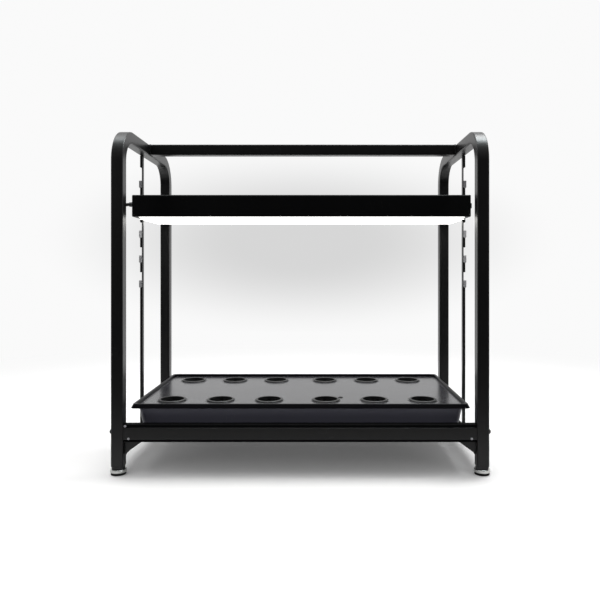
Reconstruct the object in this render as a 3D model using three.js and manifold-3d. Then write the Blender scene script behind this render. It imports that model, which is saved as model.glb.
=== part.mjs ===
// Tabletop plant grow shelf: a bent-tube frame, a lamp hood that clamps to two slotted uprights,
// and a tray with a planting deck and net pots.
// Millimetres, X to the right, Y to the back, Z up. The origin is under the middle, on the floor.
import * as THREE from 'three';
import { mergeVertices } from 'three/addons/utils/BufferGeometryUtils.js';
import Module from 'manifold-3d';

const wasm = await Module();
wasm.setup();

// Fits that the whole shelf shares
const touchGap = 0.3;
const slideGap = 0.5;
const cutOverrun = 2;

// Frame tube
const frameWidth = 594;
const frameDepth = 314;
const frameHeight = 550;
const tubeSize = 19;
const tubeWall = 1.2;
const tubeCornerRadius = 2;
const boreRoundShare = 0.25;
const bendRadius = 55;
const bendSteps = 6;
const holeSides = 16;

// Levelling feet
const padThickness = 4;
const padDiameter = 24;
const discThickness = 5;
const discDiameter = 26;
const collarHeight = 4.5;
const plugDepth = 20;
const plugCollarInset = 0.8;
const stemDiameter = 8;
const stemEmbedShare = 0.8;
const discRoundShare = 0.3;
const padRoundShare = 0.2;
const footSides = 18;

// Shelf rails, panel and gussets
const railHeight = 28;
const railDepth = 16;
const railClearance = 38.5;
const railInset = 1;
const sideRailClearance = 14.4;
const sideRailHeight = 10;
const railEndPlate = 3;
const panelSheet = 1.5;
const panelFlange = 5;
const gussetWidth = 28;
const gussetDrop = 20;
const gussetSheet = 3;

// Frame bolts
const boltHeadDiameter = 8.4;
const boltHeadHeight = 2.8;
const boltShankDiameter = 5;
const boltReach = 12;
const socketDiameter = 3.4;
const socketDepth = 1.3;
const boltRiseShare = 0.55;
const boltHeadShares = [[0.5, 0.35], [0.42, 0.75], [0.3, 1]];
const boltSides = 12;

// Slotted uprights
const uprightDepth = 8;
const uprightWeb = 1.3;
const uprightFlange = 3.6;
const uprightSheet = 1.3;
const uprightOuterInset = 0.7;
const notchRoot = 0.4;
const tabReach = 1.8;
const tabCount = 5;
const lowestTabShare = 0.514;
const tabPitchShare = 0.0922;
const tabHeightShare = 0.0243;
const notchHeightShare = 0.0302;
const topNotchShare = 0.0493;

// Lamp hood
const hoodDepth = 168;
const hoodHeight = 37;
const hoodSheet = 1.2;
const hoodReturn = 6;
const capThickness = 3;
const capCornerRadius = 2.5;
const hoodTabNumber = 3;
const hoodDropShare = 0.405;
const diffuserThickness = 2;
const reflectorSheet = 0.8;
const reflectorRiseShare = 0.5;
const reflectorTopShare = 0.62;
const reflectorFootShare = 1.2;
const boardWidth = 14;
const boardThickness = 1.6;
const boardSpreadShare = 0.22;
const boardLengthShare = 0.95;
const driverLength = 150;
const driverWidth = 40;
const driverHeightShare = 0.7;

// Hood hangers and their thumb screws
const hangerSheet = 1.5;
const hangerSpacer = 2.9;
const hangerHeightShare = 0.75;
const thumbDiameter = 9.4;
const thumbLength = 11;
const thumbStemDiameter = 4;
const thumbHeadShares = [[0.8, 0.25], [1, 0.38], [1, 0.9], [0.8, 1]];
const thumbSides = 12;

// Rocker switch in the right end cap
const rockerLength = 14;
const rockerHeight = 9;
const rockerProud = 3;
const rockerBody = 3.2;
const rockerTilt = 7;
const rockerHollowShare = 0.55;
const rockerCurveSteps = 6;
const rockerPlaceShare = 0.81;
const rockerRiseShare = 0.525;

// Tray
const traySideGap = 6;
const trayEndInset = 17;
const trayHeight = 54.6;
const trayWall = 1.6;
const trayDraftShare = 0.165;
const trayCornerRadius = 9;
const trayFootRadius = 5;
const trayFootShare = 0.3;
const cornerSteps = 4;
const cornerLimitShare = 0.9;
const lipCornerRadius = 4;
const lipWidth = 7;
const lipFlare = 2.4;
const lipDrop = 7;
const lipRound = 0.8;
const ledgeWidth = 4.6;
const ledgeDrop = 7;

// Planting deck
const deckThickness = 2;
const deckSkirt = 5;
const potPitchShare = 0.1539;
const potMiddleShare = 0.1803;
const potRowShare = 0.332;
const potShift = -6.4;

// Net pots
const potRimDiameter = 46;
const potRimHeight = 2.2;
const potTopDiameter = 39;
const potBaseDiameter = 28;
const potHeight = 44;
const potWall = 1.3;
const potRimRoundShare = 0.4;
const potSlotWidth = 4;
const potSlotLowShare = 0.12;
const potSlotHighShare = 0.78;
const potSlotPairs = 3;
const potSides = 16;
const potsPerHalfRow = 3;

// Power cord: its gland, its route to the floor, its coil and its plug
const cordDiameter = 6;
const glandDiameter = 15;
const glandFlange = 3.5;
const glandLength = 20;
const glandNeckDiameter = 9;
const glandPlace = -32;
const glandRiseShare = 0.7;
const glandTaperShares = { shoulder: 0.36, shoulderRise: 1.3, tip: 0.68 };
const glandSides = 14;
const cordSides = 8;
const cordSteps = 54;
const coilPlaceX = -176;
const coilPlaceY = 222;
const coilMeanRadius = 33;
const coilPitch = 6.6;
const coilTurns = 5;
const coilStepsPerTurn = 24;
const coilSides = 6;
const coilLead = 18;
const coilLeadSteps = 3;
const coilTail = 18;
const coilStartShare = 0.25;
const coilClimbShare = 0.5;
const selfGapShare = 4;
const plugLength = 34;
const plugWidth = 26;
const plugCorner = 4;
const plugNeckLength = 20;
const plugNeckDiameter = 10;
const plugNeckShare = 0.8;
const plugNeckSides = 12;
const bladeLength = 17;
const bladeWidth = 6.4;
const bladeThickness = 1.6;
const bladeSpacing = 12.7;
const tieWidth = 5;
const tieSheet = 1;

// Places that follow from the sizes above
const insideHalf = frameWidth / 2 - tubeSize;
const tubeCentreX = frameWidth / 2 - tubeSize / 2;
const legY = frameDepth / 2 - tubeSize / 2;
const legBottom = padThickness + discThickness + collarHeight;
const railBottom = legBottom + railClearance;
const railTop = railBottom + railHeight;
const railY = frameDepth / 2 - railInset - railDepth / 2;
const boltZ = railBottom + railHeight * boltRiseShare;
const sideRailTop = legBottom + sideRailClearance + sideRailHeight;
const uprightBottom = sideRailTop + touchGap;
const uprightTop = frameHeight - tubeSize - touchGap;
const uprightLength = uprightTop - uprightBottom;
const uprightOuter = frameWidth / 2 - uprightOuterInset;
const uprightWebOuter = uprightOuter - uprightFlange;
const uprightInner = uprightWebOuter - uprightWeb;
const hangerWall = hangerSheet + hangerSpacer;
const hangerInner = uprightInner - slideGap - hangerWall;
const hoodHalf = hangerInner - touchGap;
const panelTop = railBottom + panelSheet;
const trayBase = panelTop + touchGap;
const trayTop = trayBase + trayHeight;
const trayHalfX = insideHalf - traySideGap;
const trayHalfY = frameDepth / 2 - trayEndInset;
const ledgeTop = trayTop - ledgeDrop;
const ledgeInset = lipWidth + ledgeWidth;
const deckBase = ledgeTop + touchGap;
const deckTop = deckBase + deckThickness;
const deckHalfX = trayHalfX - lipWidth - slideGap;
const deckHalfY = trayHalfY - lipWidth - slideGap;

const tabZ = (index) => uprightBottom + uprightLength * (lowestTabShare + tabPitchShare * index);
const hoodBottom = tabZ(hoodTabNumber) - hoodHeight * hoodDropShare;
const hoodTop = hoodBottom + hoodHeight;
const glandZ = hoodBottom + hoodHeight * glandRiseShare;

// Finishes
const finish = (color, roughness, metalness, more = {}) => {
  return new THREE.MeshStandardMaterial({ color, roughness, metalness, ...more });
};
const satinBlack = finish(0x1f1f21, 0.42, 0.35);
const hoodBlack = finish(0x0e0e10, 0.5, 0.3);
const blackPlastic = finish(0x1c1c1f, 0.5, 0);
const trayPlastic = finish(0x2c2c31, 0.38, 0);
const deckPlastic = finish(0x232327, 0.22, 0);
const rubber = finish(0x151515, 0.85, 0);
const chrome = finish(0xd4d6d8, 0.12, 1);
const zincSteel = finish(0x8d9094, 0.35, 0.9);
const whitePaint = finish(0xf2f2ee, 0.35, 0);
const opalLit = finish(0xffffff, 0.3, 0, { emissive: 0xffffff, emissiveIntensity: 1 });
const boardWhite = finish(0xe8e9e4, 0.5, 0.1);
const cordRubber = finish(0x161617, 0.6, 0);

const shelf = new THREE.Group();

function addMesh(name, geometry, material) {
  const mesh = new THREE.Mesh(geometry, material);
  mesh.name = name;
  shelf.add(mesh);
  return mesh;
}

// Closed solids from rings of points. Each ring joins the next one.
// With loop, the last ring joins the first; otherwise both end rings are closed by a flat fan.
function ringSolid(rings, loop = false) {
  const count = rings[0].length;
  const positions = rings.flat().flatMap((point) => [point.x, point.y, point.z]);
  const faces = [];
  const pairs = loop ? rings.length : rings.length - 1;
  for (let r = 0; r < pairs; r += 1) {
    const next = (r + 1) % rings.length;
    for (let i = 0; i < count; i += 1) {
      const a = r * count + i;
      const b = r * count + ((i + 1) % count);
      const c = next * count + ((i + 1) % count);
      const d = next * count + i;
      faces.push(a, b, c, a, c, d);
    }
  }
  if (!loop) {
    const last = (rings.length - 1) * count;
    for (let i = 1; i < count - 1; i += 1) {
      faces.push(0, i + 1, i);
      faces.push(last, last + i, last + i + 1);
    }
  }
  const geometry = new THREE.BufferGeometry();
  geometry.setAttribute('position', new THREE.Float32BufferAttribute(positions, 3));
  geometry.setIndex(faces);
  if (signedVolume(geometry) < 0) {
    const index = geometry.index;
    for (let i = 0; i < index.count; i += 3) {
      const second = index.getX(i + 1);
      index.setX(i + 1, index.getX(i + 2));
      index.setX(i + 2, second);
    }
  }
  geometry.computeVertexNormals();
  return geometry;
}

function signedVolume(geometry) {
  const position = geometry.getAttribute('position');
  const index = geometry.index;
  const a = new THREE.Vector3();
  const b = new THREE.Vector3();
  const c = new THREE.Vector3();
  let total = 0;
  for (let i = 0; i < index.count; i += 3) {
    a.fromBufferAttribute(position, index.getX(i));
    b.fromBufferAttribute(position, index.getX(i + 1));
    c.fromBufferAttribute(position, index.getX(i + 2));
    total += a.dot(b.cross(c)) / 6;
  }
  return total;
}

// A rectangle with rounded corners, centred on zero, as points that run counterclockwise
function roundedRectangle(width, height, radius, steps = 2) {
  const points = [];
  const corners = [
    [1, 1, 0],
    [-1, 1, 1],
    [-1, -1, 2],
    [1, -1, 3],
  ];
  for (const [signX, signY, quarter] of corners) {
    for (let s = 0; s <= steps; s += 1) {
      const angle = (quarter + s / steps) * Math.PI / 2;
      const x = signX * (width / 2 - radius) + radius * Math.cos(angle);
      const y = signY * (height / 2 - radius) + radius * Math.sin(angle);
      points.push(new THREE.Vector2(x, y));
    }
  }
  return points;
}

// A section swept through stations, each a centre with the directions of the section's two axes
function sweptRings(stations, section) {
  return stations.map(({ centre, across, up }) => section.map((point) => {
    return centre.clone().addScaledVector(across, point.x).addScaledVector(up, point.y);
  }));
}

function solidOf(geometry) {
  const bare = geometry.clone();
  bare.deleteAttribute('normal');
  bare.deleteAttribute('uv');
  const merged = mergeVertices(bare);
  const vertProperties = Float32Array.from(merged.getAttribute('position').array);
  const triVerts = Uint32Array.from(merged.index.array);
  return new wasm.Manifold(new wasm.Mesh({ numProp: 3, vertProperties, triVerts }));
}

function geometryOf(solid) {
  const mesh = solid.getMesh();
  const geometry = new THREE.BufferGeometry();
  geometry.setAttribute('position', new THREE.BufferAttribute(mesh.vertProperties, 3));
  geometry.setIndex(new THREE.BufferAttribute(mesh.triVerts, 1));
  geometry.computeVertexNormals();
  return geometry;
}

function block(low, high) {
  const size = new THREE.Vector3().subVectors(high, low);
  const centre = new THREE.Vector3().addVectors(low, high).multiplyScalar(0.5);
  return new THREE.BoxGeometry(size.x, size.y, size.z).translate(centre.x, centre.y, centre.z);
}

function blockBetween(x0, x1, y0, y1, z0, z1) {
  return block(new THREE.Vector3(x0, y0, z0), new THREE.Vector3(x1, y1, z1));
}

// A turned solid round Z from a profile of [radius, height] pairs, bottom first
function turned(profile, segments) {
  const points = profile.map(([radius, height]) => new THREE.Vector2(radius, height));
  return new THREE.LatheGeometry(points, segments).rotateX(Math.PI / 2);
}

// The same solid laid along X, with its height running towards +X or -X
function turnedAlongX(profile, segments, direction) {
  return turned(profile, segments).rotateY(direction * Math.PI / 2);
}

function turnedAlongY(profile, segments, direction) {
  return turned(profile, segments).rotateX(-direction * Math.PI / 2);
}

function rodAlongX(diameter, x0, x1, y, z) {
  const rod = new THREE.CylinderGeometry(diameter / 2, diameter / 2, Math.abs(x1 - x0), holeSides);
  return rod.rotateZ(Math.PI / 2).translate((x0 + x1) / 2, y, z);
}

function rodAlongY(diameter, y0, y1, x, z) {
  const rod = new THREE.CylinderGeometry(diameter / 2, diameter / 2, Math.abs(y1 - y0), holeSides);
  return rod.translate(x, (y0 + y1) / 2, z);
}

function rodAlongZ(diameter, z0, z1, x, y) {
  const rod = new THREE.CylinderGeometry(diameter / 2, diameter / 2, Math.abs(z1 - z0), holeSides);
  return rod.rotateX(Math.PI / 2).translate(x, y, (z0 + z1) / 2);
}

// An outline of [across, up] pairs, extruded along X between two places
function extrudedAlongX(outline, x0, x1) {
  const shape = new THREE.Shape(outline.map(([y, z]) => new THREE.Vector2(y, z)));
  const geometry = new THREE.ExtrudeGeometry(shape, { depth: x1 - x0, bevelEnabled: false });
  const turn = new THREE.Matrix4().set(0, 0, 1, x0, 1, 0, 0, 0, 0, 1, 0, 0, 0, 0, 0, 1);
  return geometry.applyMatrix4(turn);
}

// Bent side frames with their welded lower rail

// The middle line of an inverted U at one X: up the front leg, over, and down the rear leg
function legStations(x, bottom) {
  const across = new THREE.Vector3(1, 0, 0);
  const middleRadius = bendRadius - tubeSize / 2;
  const stations = [];
  const addStation = (y, z, up) => stations.push({ centre: new THREE.Vector3(x, y, z), across, up });
  addStation(-legY, bottom, new THREE.Vector3(0, -1, 0));
  for (const side of [-1, 1]) {
    const centreY = side * (frameDepth / 2 - bendRadius);
    const centreZ = frameHeight - bendRadius;
    for (let s = 0; s <= bendSteps; s += 1) {
      const turn = side < 0 ? s / bendSteps : 1 - s / bendSteps;
      const angle = turn * Math.PI / 2;
      const up = new THREE.Vector3(0, side * Math.cos(angle), Math.sin(angle));
      addStation(centreY + up.y * middleRadius, centreZ + up.z * middleRadius, up);
    }
  }
  addStation(legY, bottom, new THREE.Vector3(0, 1, 0));
  return stations;
}

const tubeOutside = roundedRectangle(tubeSize, tubeSize, tubeCornerRadius);
const boreSize = tubeSize - 2 * tubeWall;
const boreRadius = Math.max(tubeCornerRadius - tubeWall, tubeWall * boreRoundShare);
const tubeBore = roundedRectangle(boreSize, boreSize, boreRadius);
const sideRailOutside = roundedRectangle(tubeSize, sideRailHeight, tubeCornerRadius);
const sideRailBore = roundedRectangle(boreSize, sideRailHeight - 2 * tubeWall, boreRadius);

// A straight rounded bar along Y
function barAlongY(section, x, z, y0, y1) {
  const across = new THREE.Vector3(1, 0, 0);
  const up = new THREE.Vector3(0, 0, 1);
  const ends = [y0, y1].map((y) => ({ centre: new THREE.Vector3(x, y, z), across, up }));
  return ringSolid(sweptRings(ends, section));
}

// A straight rounded bar along X
function barAlongX(section, y, z, x0, x1) {
  const across = new THREE.Vector3(0, 1, 0);
  const up = new THREE.Vector3(0, 0, 1);
  const ends = [x0, x1].map((x) => ({ centre: new THREE.Vector3(x, y, z), across, up }));
  return ringSolid(sweptRings(ends, section));
}

const boltHoleDiameter = boltShankDiameter + 2 * touchGap;

function sideFrame(side) {
  const x = side * tubeCentreX;
  const railZ = sideRailTop - sideRailHeight / 2;
  const outside = solidOf(ringSolid(sweptRings(legStations(x, legBottom), tubeOutside)));
  const bore = solidOf(ringSolid(sweptRings(legStations(x, legBottom - cutOverrun), tubeBore)));
  const lowerRail = solidOf(barAlongY(sideRailOutside, x, railZ, -legY, legY));
  const lowerBore = solidOf(barAlongY(sideRailBore, x, railZ, -legY, legY));
  let frame = outside.add(lowerRail).subtract(bore).subtract(lowerBore);
  for (const end of [-1, 1]) {
    const low = x - tubeSize / 2 - cutOverrun;
    const high = x + tubeSize / 2 + cutOverrun;
    frame = frame.subtract(solidOf(rodAlongX(boltHoleDiameter, low, high, end * railY, boltZ)));
  }
  return geometryOf(frame);
}

addMesh('side_frame_left', sideFrame(-1), satinBlack);
addMesh('side_frame_right', sideFrame(1), satinBlack);

// Cross tube that joins the two tops at mid depth
function hollowBarAlongX(outside, bore, y, z, x0, x1) {
  const across = new THREE.Vector3(0, 1, 0);
  const up = new THREE.Vector3(0, 0, 1);
  const ends = [x0, x1].map((x) => ({ centre: new THREE.Vector3(x, y, z), across, up }));
  const rings = [...sweptRings(ends, outside), ...sweptRings(ends, bore).reverse()];
  return ringSolid(rings, true);
}

const crossReach = insideHalf - touchGap;
const crossZ = frameHeight - tubeSize / 2;
const crossTube = hollowBarAlongX(tubeOutside, tubeBore, 0, crossZ, -crossReach, crossReach);
addMesh('cross_tube', crossTube, satinBlack);

// Front and rear shelf rails, hollow, with a pierced plate in each end for the bolts
const railOutside = roundedRectangle(railDepth, railHeight, tubeCornerRadius);
const railBore = roundedRectangle(railDepth - 2 * tubeWall, railHeight - 2 * tubeWall, boreRadius);

function shelfRail(end) {
  const y = end * railY;
  const z = railBottom + railHeight / 2;
  const reach = insideHalf - touchGap;
  const boreReach = reach - railEndPlate;
  const drill = reach + cutOverrun;
  return geometryOf(
    solidOf(barAlongX(railOutside, y, z, -reach, reach))
      .subtract(solidOf(barAlongX(railBore, y, z, -boreReach, boreReach)))
      .subtract(solidOf(rodAlongX(boltHoleDiameter, -drill, drill, y, boltZ))),
  );
}

addMesh('shelf_rail_front', shelfRail(-1), satinBlack);
addMesh('shelf_rail_rear', shelfRail(1), satinBlack);

// Sheet shelf panel with a folded edge all round, between the rails
const panelHalfX = insideHalf - touchGap;
const panelHalfY = railY - railDepth / 2 - touchGap;
const panelPocketX = panelHalfX - panelSheet;
const panelPocketY = panelHalfY - panelSheet;
const panelRim = railBottom + panelFlange;
const panelBlank = solidOf(
  blockBetween(-panelHalfX, panelHalfX, -panelHalfY, panelHalfY, railBottom, panelRim),
);
const panelPocket = solidOf(
  blockBetween(-panelPocketX, panelPocketX, -panelPocketY, panelPocketY, panelTop, panelRim + cutOverrun),
);
addMesh('shelf_panel', geometryOf(panelBlank.subtract(panelPocket)), satinBlack);

// Corner gussets under the ends of both rails
function gusset(side, end) {
  const outline = [
    [insideHalf - touchGap, railBottom - touchGap],
    [insideHalf - touchGap - gussetWidth, railBottom - touchGap],
    [insideHalf - touchGap, railBottom - touchGap - gussetDrop],
  ];
  const shape = new THREE.Shape(outline.map(([x, z]) => new THREE.Vector2(side * x, z)));
  const plate = new THREE.ExtrudeGeometry(shape, { depth: gussetSheet, bevelEnabled: false });
  return plate.rotateX(Math.PI / 2).translate(0, end * railY + gussetSheet / 2, 0);
}

// Button-head bolts through the legs into the rails
const boltSocketRadius = socketDiameter / 2;
const boltProfile = [
  [0, -(tubeSize + boltReach)],
  [boltShankDiameter / 2, -(tubeSize + boltReach)],
  [boltShankDiameter / 2, 0],
  [boltHeadDiameter / 2, 0],
  ...boltHeadShares.map(([radius, rise]) => [boltHeadDiameter * radius, boltHeadHeight * rise]),
  [boltSocketRadius, boltHeadHeight],
  [boltSocketRadius, boltHeadHeight - socketDepth],
  [0, boltHeadHeight - socketDepth],
];

for (const [sideName, side] of [['left', -1], ['right', 1]]) {
  for (const [endName, end] of [['front', -1], ['rear', 1]]) {
    addMesh(`gusset_${endName}_${sideName}`, gusset(side, end), satinBlack);
    const seat = side * (frameWidth / 2 + touchGap);
    const bolt = turnedAlongX(boltProfile, boltSides, side).translate(seat, end * railY, boltZ);
    addMesh(`bolt_${endName}_${sideName}`, bolt, satinBlack);
  }
}

// Uprights: a channel whose two flanges carry notches, each with a hook tab under it
function uprightOutline() {
  const tabHeight = uprightLength * tabHeightShare;
  const outline = [[uprightInner, uprightBottom], [uprightOuter, uprightBottom]];
  for (let i = 0; i < tabCount; i += 1) {
    const tabBottom = tabZ(i);
    const tabTop = tabBottom + tabHeight;
    const notchShare = i === tabCount - 1 ? topNotchShare : notchHeightShare;
    const notchTop = tabTop + uprightLength * notchShare;
    outline.push([uprightOuter, tabBottom - tabReach]);
    outline.push([uprightOuter + tabReach, tabBottom]);
    outline.push([uprightOuter + tabReach, tabTop]);
    outline.push([uprightOuter, tabTop]);
    outline.push([uprightOuter, tabTop - tabReach]);
    outline.push([uprightWebOuter + notchRoot, tabTop - tabReach]);
    outline.push([uprightWebOuter + notchRoot, notchTop]);
    outline.push([uprightOuter, notchTop]);
  }
  outline.push([uprightOuter, uprightTop], [uprightInner, uprightTop]);
  return outline;
}

function upright(side) {
  const shape = new THREE.Shape(uprightOutline().map(([x, z]) => new THREE.Vector2(side * x, z)));
  const blank = new THREE.ExtrudeGeometry(shape, { depth: uprightDepth, bevelEnabled: false });
  blank.rotateX(Math.PI / 2).translate(0, uprightDepth / 2, 0);
  const near = side * uprightWebOuter;
  const far = side * (uprightOuter + tabReach + cutOverrun);
  const half = uprightDepth / 2 - uprightSheet;
  const [x0, x1] = [Math.min(near, far), Math.max(near, far)];
  const trough = blockBetween(x0, x1, -half, half, uprightBottom - cutOverrun, uprightTop + cutOverrun);
  return geometryOf(solidOf(blank).subtract(solidOf(trough)));
}

addMesh('upright_left', upright(-1), satinBlack);
addMesh('upright_right', upright(1), satinBlack);

// Levelling feet: an end plug in each leg, a threaded foot with a bright disc, and a rubber pad
const plugBoreDiameter = stemDiameter + 2 * touchGap;
const stemLength = collarHeight + plugDepth * stemEmbedShare;
const discBottom = padThickness;
const discTop = padThickness + discThickness;

function legPlug(x, y) {
  const collarSize = tubeSize - 2 * plugCollarInset;
  const collar = roundedRectangle(collarSize, collarSize, tubeCornerRadius);
  const inner = boreSize - 2 * touchGap;
  const insert = roundedRectangle(inner, inner, boreRadius);
  const across = new THREE.Vector3(1, 0, 0);
  const up = new THREE.Vector3(0, 1, 0);
  const station = (z) => ({ centre: new THREE.Vector3(x, y, z), across, up });
  const collarTop = legBottom - touchGap;
  const plugTop = legBottom + plugDepth;
  const collarRings = sweptRings([station(discTop + touchGap), station(collarTop)], collar);
  const insertRings = sweptRings([station(collarTop), station(plugTop)], insert);
  const drill = rodAlongZ(plugBoreDiameter, discTop - cutOverrun, plugTop + cutOverrun, x, y);
  return geometryOf(solidOf(ringSolid([...collarRings, ...insertRings])).subtract(solidOf(drill)));
}

const discRadius = discDiameter / 2;
const discRound = discThickness * discRoundShare;
const footProfile = [
  [0, discBottom],
  [discRadius - discRound, discBottom],
  [discRadius, discBottom + discRound],
  [discRadius, discTop - discRound],
  [discRadius - discRound, discTop],
  [stemDiameter / 2, discTop],
  [stemDiameter / 2, discTop + stemLength],
  [0, discTop + stemLength],
];

const padRadius = padDiameter / 2;
const padRound = padThickness * padRoundShare;
const padProfile = [
  [0, 0],
  [padRadius - padRound, 0],
  [padRadius, padRound],
  [padRadius, padThickness - touchGap],
  [0, padThickness - touchGap],
];

for (const [sideName, side] of [['left', -1], ['right', 1]]) {
  for (const [endName, end] of [['front', -1], ['rear', 1]]) {
    const place = `${endName}_${sideName}`;
    const x = side * tubeCentreX;
    const y = end * legY;
    addMesh(`leg_plug_${place}`, legPlug(x, y), blackPlastic);
    addMesh(`foot_${place}`, turned(footProfile, footSides).translate(x, y, 0), chrome);
    addMesh(`foot_pad_${place}`, turned(padProfile, footSides).translate(x, y, 0), rubber);
  }
}

// Lamp hood: folded shell, end caps, reflector, lamp boards, driver and diffuser
const shellReach = hoodHalf - capThickness - touchGap;
const hoodHalfY = hoodDepth / 2;

function hoodShell() {
  const out = hoodHalfY;
  const inn = hoodHalfY - hoodSheet;
  const lip = hoodHalfY - hoodReturn;
  const low = hoodBottom + hoodSheet;
  const high = hoodTop - hoodSheet;
  const outline = [
    [-out, hoodBottom], [-lip, hoodBottom], [-lip, low], [-inn, low], [-inn, high],
    [inn, high], [inn, low], [lip, low], [lip, hoodBottom], [out, hoodBottom],
    [out, hoodTop], [-out, hoodTop],
  ];
  return extrudedAlongX(outline, -shellReach, shellReach);
}

addMesh('hood_shell', hoodShell(), hoodBlack);

const rockerY = -hoodHalfY * rockerPlaceShare;
const rockerZ = hoodBottom + hoodHeight * rockerRiseShare;
const rockerPivotX = hoodHalf - rockerBody / 2;

function hoodCap(side) {
  const outline = roundedRectangle(hoodDepth, hoodHeight, capCornerRadius);
  const middle = hoodBottom + hoodHeight / 2;
  const points = outline.map((point) => [point.x, point.y + middle]);
  const inner = side * (hoodHalf - capThickness);
  const outer = side * hoodHalf;
  const plate = solidOf(extrudedAlongX(points, Math.min(inner, outer), Math.max(inner, outer)));
  const low = Math.min(inner, outer) - cutOverrun;
  const high = Math.max(inner, outer) + cutOverrun;
  if (side < 0) {
    const hole = rodAlongX(glandNeckDiameter + 2 * touchGap, low, high, glandPlace, glandZ);
    return geometryOf(plate.subtract(solidOf(hole)));
  }
  const halfLength = rockerLength / 2 + slideGap;
  const halfHeight = rockerHeight / 2 + slideGap;
  const window = blockBetween(
    low, high, rockerY - halfLength, rockerY + halfLength, rockerZ - halfHeight, rockerZ + halfHeight,
  );
  return geometryOf(plate.subtract(solidOf(window)));
}

addMesh('hood_cap_left', hoodCap(-1), hoodBlack);
addMesh('hood_cap_right', hoodCap(1), hoodBlack);

const innerHalfY = hoodHalfY - hoodSheet - touchGap;
const diffuserBottom = hoodBottom + hoodSheet + touchGap;
const diffuserTop = diffuserBottom + diffuserThickness;
const fittingsReach = shellReach - touchGap;
addMesh(
  'diffuser',
  blockBetween(-fittingsReach, fittingsReach, -innerHalfY, innerHalfY, diffuserBottom, diffuserTop),
  opalLit,
);

// The reflector stands on the diffuser, slopes in and carries the lamp boards under its flat top
const reflectorBottom = diffuserTop + touchGap;
const reflectorUnder = reflectorBottom + (hoodHeight - hoodSheet) * reflectorRiseShare;
const reflectorTop = reflectorUnder + reflectorSheet;

function reflector() {
  const foot = innerHalfY;
  const top = innerHalfY * reflectorTopShare;
  const skew = reflectorSheet * reflectorFootShare;
  const outline = [
    [-foot, reflectorBottom], [-foot + skew, reflectorBottom], [-top + skew / 2, reflectorUnder],
    [top - skew / 2, reflectorUnder], [foot - skew, reflectorBottom], [foot, reflectorBottom],
    [top, reflectorTop], [-top, reflectorTop],
  ];
  return extrudedAlongX(outline, -fittingsReach, fittingsReach);
}

addMesh('reflector', reflector(), whitePaint);

const boardTop = reflectorUnder - touchGap;
const boardReach = fittingsReach * boardLengthShare;
for (const [name, end] of [['front', -1], ['rear', 1]]) {
  const middle = end * hoodDepth * boardSpreadShare;
  const board = blockBetween(
    -boardReach, boardReach, middle - boardWidth / 2, middle + boardWidth / 2,
    boardTop - boardThickness, boardTop,
  );
  addMesh(`lamp_board_${name}`, board, boardWhite);
}

const driverBottom = reflectorTop + touchGap;
const driverRoom = hoodTop - hoodSheet - touchGap - driverBottom;
const driverSection = roundedRectangle(driverWidth, driverRoom * driverHeightShare, tubeCornerRadius);
const driverZ = driverBottom + driverRoom * driverHeightShare / 2;
addMesh('lamp_driver', barAlongX(driverSection, 0, driverZ, -driverLength / 2, driverLength / 2), zincSteel);

// Hangers: a saddle on each end of the hood that straddles the upright, clamped by a thumb screw
const hangerHalfY = uprightDepth / 2 + slideGap;
const hangerOuter = uprightOuter + tabReach;
const hangerMiddle = hoodBottom + hoodHeight / 2;
const hangerHalfZ = hoodHeight * hangerHeightShare / 2;
const thumbX = (uprightInner + uprightOuter) / 2 + slideGap;
const thumbHoleDiameter = thumbStemDiameter + 2 * touchGap;

function hanger(side) {
  const span = (a, b) => [Math.min(side * a, side * b), Math.max(side * a, side * b)];
  const [x0, x1] = span(hangerInner, hangerOuter);
  const [c0, c1] = span(hangerInner + hangerWall, hangerOuter + cutOverrun);
  const halfY = hangerHalfY + hangerSheet;
  const low = hangerMiddle - hangerHalfZ;
  const high = hangerMiddle + hangerHalfZ;
  const blank = solidOf(blockBetween(x0, x1, -halfY, halfY, low, high));
  const cut = blockBetween(c0, c1, -hangerHalfY, hangerHalfY, low - cutOverrun, high + cutOverrun);
  const hole = rodAlongY(
    thumbHoleDiameter, hangerHalfY - cutOverrun / 2, halfY + cutOverrun, side * thumbX, hangerMiddle,
  );
  return geometryOf(blank.subtract(solidOf(cut)).subtract(solidOf(hole)));
}

const thumbRadius = thumbDiameter / 2;
const thumbProfile = [
  [0, touchGap],
  [thumbStemDiameter / 2, touchGap],
  [thumbStemDiameter / 2, thumbLength * thumbHeadShares[0][1]],
  ...thumbHeadShares.map(([radius, reach]) => [thumbRadius * radius, thumbLength * reach]),
  [0, thumbLength],
];

for (const [name, side] of [['left', -1], ['right', 1]]) {
  addMesh(`hanger_${name}`, hanger(side), hoodBlack);
  const screw = turnedAlongY(thumbProfile, thumbSides, 1);
  screw.translate(side * thumbX, uprightDepth / 2, hangerMiddle);
  addMesh(`thumb_screw_${name}`, screw, blackPlastic);
}

// Rocker of the lamp switch, tilted to its on side
function rocker() {
  const half = rockerLength / 2;
  const shape = new THREE.Shape();
  shape.moveTo(-rockerBody / 2, -half);
  shape.lineTo(rockerProud, -half);
  shape.quadraticCurveTo(rockerProud * rockerHollowShare, 0, rockerProud, half);
  shape.lineTo(-rockerBody / 2, half);
  shape.lineTo(-rockerBody, 0);
  const settings = { depth: rockerHeight, bevelEnabled: false, curveSegments: rockerCurveSteps };
  const key = new THREE.ExtrudeGeometry(shape, settings).translate(0, 0, -rockerHeight / 2);
  key.rotateZ(rockerTilt * Math.PI / 180);
  return key.translate(rockerPivotX + rockerBody / 2, rockerY, rockerZ);
}

addMesh('rocker_switch', rocker(), blackPlastic);

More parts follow.
